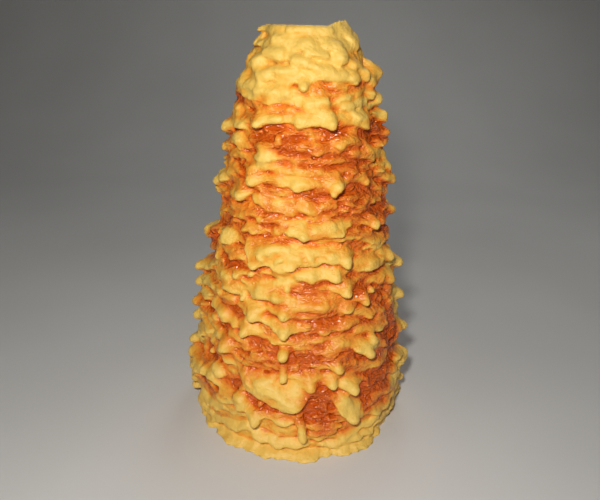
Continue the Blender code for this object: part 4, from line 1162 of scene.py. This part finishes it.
def crust_material():
    m = Nodes("cake_crust_baked")
    lengthwise = m.mapped((1.0, 1.0, 1.7))
    plain = m.mapped((1.0, 1.0, 1.0))
    broad = m.noise(lengthwise, 95.0, 3.0, 0.55, 0.4)
    fine = m.noise(plain, 260.0, 3.0, 0.6, 0.2)
    grain = m.noise(plain, 1500.0, 2.0, 0.6)
    # browning, with painted shade from creases, hollows and undersides already in it
    base = m.attribute("browning_and_shade")
    # wrinkles: little pillows of skin with sharp folds between, deeper where browned
    drawn = m.mapped((1.0, 1.0, 1.8))
    wavy = m.noise(drawn, 60.0, 1.5, 0.50, 0.9)
    small = m.noise(drawn, 140.0, 1.0, 0.50, 0.7)
    pillow = m.math("ABSOLUTE", m.math("SUBTRACT", wavy, 0.5))
    pillow = m.math("ADD", m.math("MULTIPLY", pillow, 2.6),
                    m.math("MULTIPLY", m.math("ABSOLUTE", m.math("SUBTRACT", small, 0.5)), 1.7))
    baked = m.math("MULTIPLY", m.math("SUBTRACT", base, 0.22, clamp=True), 1.5, clamp=True)
    baked = m.math("ADD", m.math("MULTIPLY", baked, 0.90), 0.10)
    tone = m.math("ADD", base, m.math("MULTIPLY", m.math("SUBTRACT", broad, 0.5), 0.22))
    tone = m.math("ADD", tone, m.math("MULTIPLY", m.math("SUBTRACT", fine, 0.5), 0.10))
    tone = m.math("ADD", tone, m.math("MULTIPLY", m.math("SUBTRACT", grain, 0.5), 0.10))
    # painted shade: the tone goes browner in the folds between the pillows of skin, and paler on their tops
    painted_fold_shade = m.math("MULTIPLY", m.math("SUBTRACT", 0.34, pillow), baked)
    tone = m.math("ADD", tone, m.math("MULTIPLY", painted_fold_shade, 0.45), clamp=True)
    colour = m.ramp(tone, CRUST_COLOURS)
    # painted shade: the colour is darkened towards a deep brown in the narrow creases, where the hollow mask is high
    painted_crease_shade = m.math("MULTIPLY", m.math("SUBTRACT", m.attribute("hollow_shade_mask"), 0.65), 3.8, clamp=True)
    m.link(m.mix(painted_crease_shade, colour, srgb(132, 44, 4)), m.shader.inputs["Base Color"])
    # browner crust is set and glossy, pale batter softer
    rough = m.math("SUBTRACT", 0.48, m.math("MULTIPLY", baked, 0.27))
    rough = m.math("ADD", rough, m.math("MULTIPLY", m.math("SUBTRACT", fine, 0.5), 0.12))
    m.link(rough, m.shader.inputs["Roughness"])
    m.shader.inputs["IOR"].default_value = 1.46
    m.shader.inputs["Specular IOR Level"].default_value = 0.65
    first = m.bump(m.math("MULTIPLY", pillow, baked), 1.0, 0.0026)
    # the mealy grain of pale batter, gone where the skin has set
    soft = m.math("SUBTRACT", 1.08, baked)
    mealy = m.bump(m.math("MULTIPLY", m.noise(plain, 260.0, 2.0, 0.5), soft), 1.0, 0.0010, first)
    second = m.bump(m.math("MULTIPLY", grain, soft), 1.0, 0.0003, mealy)
    m.link(second, m.shader.inputs["Normal"])
    return m.material


def crumb_material():
    """A cut end: rings of crumb, each with the thin brown line of its baked skin."""
    m = Nodes("cake_crumb_cut")
    plain = m.mapped((1.0, 1.0, 1.0))
    wave = m.node("ShaderNodeTexWave", wave_type="RINGS", rings_direction="Z", wave_profile="SIN")
    wave.inputs["Scale"].default_value = 78.0
    wave.inputs["Distortion"].default_value = 2.2
    wave.inputs["Detail"].default_value = 2.0
    wave.inputs["Detail Scale"].default_value = 0.6
    m.link(plain, wave.inputs["Vector"])
    pores = m.noise(plain, 900.0, 3.0, 0.65)
    broad = m.noise(plain, 60.0, 2.0, 0.5)
    line = m.math("POWER", wave.outputs["Fac"], 3.0)
    tone = m.math("ADD", m.math("MULTIPLY", line, 0.62), m.math("MULTIPLY", m.math("SUBTRACT", pores, 0.42), 0.5))
    tone = m.math("ADD", tone, m.math("MULTIPLY", m.math("SUBTRACT", broad, 0.5), 0.25), clamp=True)
    colour = m.ramp(tone, ((0.0, srgb(255, 221, 128)), (0.35, srgb(252, 201, 98)),
                           (0.7, srgb(232, 150, 60)), (1.0, srgb(196, 104, 34))))
    m.link(colour, m.shader.inputs["Base Color"])
    m.shader.inputs["Roughness"].default_value = 0.78
    height = m.math("SUBTRACT", m.math("MULTIPLY", pores, 0.8), m.math("MULTIPLY", line, 0.4))
    m.link(m.bump(height, 0.7, 0.0009), m.shader.inputs["Normal"])
    return m.material


def hole_material():
    """The wall the spit leaves: evenly browned, with the print of the paper round the spit."""
    m = Nodes("cake_spit_hole")
    along = m.mapped((1.0, 1.0, 0.35))
    plain = m.mapped((1.0, 1.0, 1.0))
    streak = m.noise(along, 160.0, 3.0, 0.55, 0.5)
    pores = m.noise(plain, 700.0, 2.0, 0.6)
    tone = m.math("ADD", m.math("MULTIPLY", streak, 0.8), m.math("MULTIPLY", pores, 0.3), clamp=True)
    colour = m.ramp(tone, ((0.2, srgb(238, 182, 84)), (0.55, srgb(220, 140, 56)), (0.9, srgb(176, 96, 34))))
    m.link(colour, m.shader.inputs["Base Color"])
    m.shader.inputs["Roughness"].default_value = 0.62
    m.link(m.bump(m.math("ADD", streak, pores), 0.5, 0.0008), m.shader.inputs["Normal"])
    return m.material


def floor_material():
    m = Nodes("floor_pale")
    plain = m.mapped((1.0, 1.0, 1.0))
    cloud = m.noise(plain, 3.0, 2.0, 0.5)
    m.link(m.ramp(cloud, ((0.3, srgb(214, 214, 212)), (0.7, srgb(222, 222, 220)))), m.shader.inputs["Base Color"])
    m.shader.inputs["Roughness"].default_value = 0.7
    return m.material


# ---- stage, light and camera ---------------------------------------------------------
def make_floor():
    """A floor that curves up into a backdrop."""
    profile = [(-2.2, 0.0), (0.9, 0.0)]
    bend, back = 0.9, 1.7
    for i in range(1, 13):
        a = math.radians(90.0 * i / 12)
        profile.append((0.9 + bend * math.sin(a), bend - bend * math.cos(a)))
    profile.append((0.9 + bend, 3.0))
    verts, faces = [], []
    for y, z in profile:
        verts += [(-3.2, y, z), (3.2, y, z)]
    for i in range(len(profile) - 1):
        faces.append((2 * i, 2 * i + 1, 2 * i + 3, 2 * i + 2))
    mesh = bpy.data.meshes.new("floor")
    mesh.from_pydata(verts, [], faces)
    mesh.shade_smooth()
    floor = bpy.data.objects.new("floor", mesh)
    floor.data.materials.append(floor_material())
    bpy.context.scene.collection.objects.link(floor)


def add_light(name, at, target, size, power, colour=(1.0, 1.0, 1.0)):
    from mathutils import Vector
    data = bpy.data.lights.new(name, "AREA")
    data.shape = "DISK"
    data.size = size
    data.energy = power
    data.color = colour
    lamp = bpy.data.objects.new(name, data)
    lamp.location = at
    lamp.rotation_euler = (Vector(target) - Vector(at)).to_track_quat("-Z", "Y").to_euler()
    bpy.context.scene.collection.objects.link(lamp)
    return lamp


def make_studio():
    make_floor()
    add_light("key", (-0.07, -0.66, 0.54), (0.0, 0.0, 0.20), 0.06, 4.25, (1.0, 0.98, 0.94))
    add_light("fill_left", (-1.3, -0.5, 0.9), (0.0, 0.0, 0.2), 0.9, 0.6, (1.0, 0.97, 0.92))
    add_light("fill_right", (1.4, -0.2, 0.8), (0.0, 0.0, 0.2), 0.9, 1.25, (1.0, 0.97, 0.92))
    add_light("rim_back", (0.3, 1.2, 1.4), (0.0, 0.0, 0.25), 0.8, 4.0)
    world = bpy.data.worlds.new("studio")
    world.use_nodes = True
    background = world.node_tree.nodes["Background"]
    background.inputs["Color"].default_value = (0.92, 0.90, 0.87, 1.0)
    background.inputs["Strength"].default_value = 0.045
    bpy.context.scene.world = world
    bpy.context.scene.view_settings.view_transform = "Standard"
    bpy.context.scene.view_settings.look = "None"


def make_camera():
    from mathutils import Matrix
    data = bpy.data.cameras.new("camera")
    data.sensor_fit = "HORIZONTAL"
    data.sensor_width = 36.0
    data.lens = 36.0
    data.clip_start = 0.02
    camera = bpy.data.objects.new("camera", data)
    turn = Matrix.Rotation(math.radians(90.0 - 20.6), 4, "X") @ Matrix.Rotation(math.radians(1.2), 4, "Z")
    camera.matrix_world = Matrix.Translation((-0.0014, -0.596, 0.400)) @ turn
    bpy.context.scene.collection.objects.link(camera)
    bpy.context.scene.camera = camera


cake = make_cake()
for material in (crust_material(), crumb_material(), hole_material()):
    cake.data.materials.append(material)
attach(cake, "root")
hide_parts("cake")
make_studio()
make_camera()
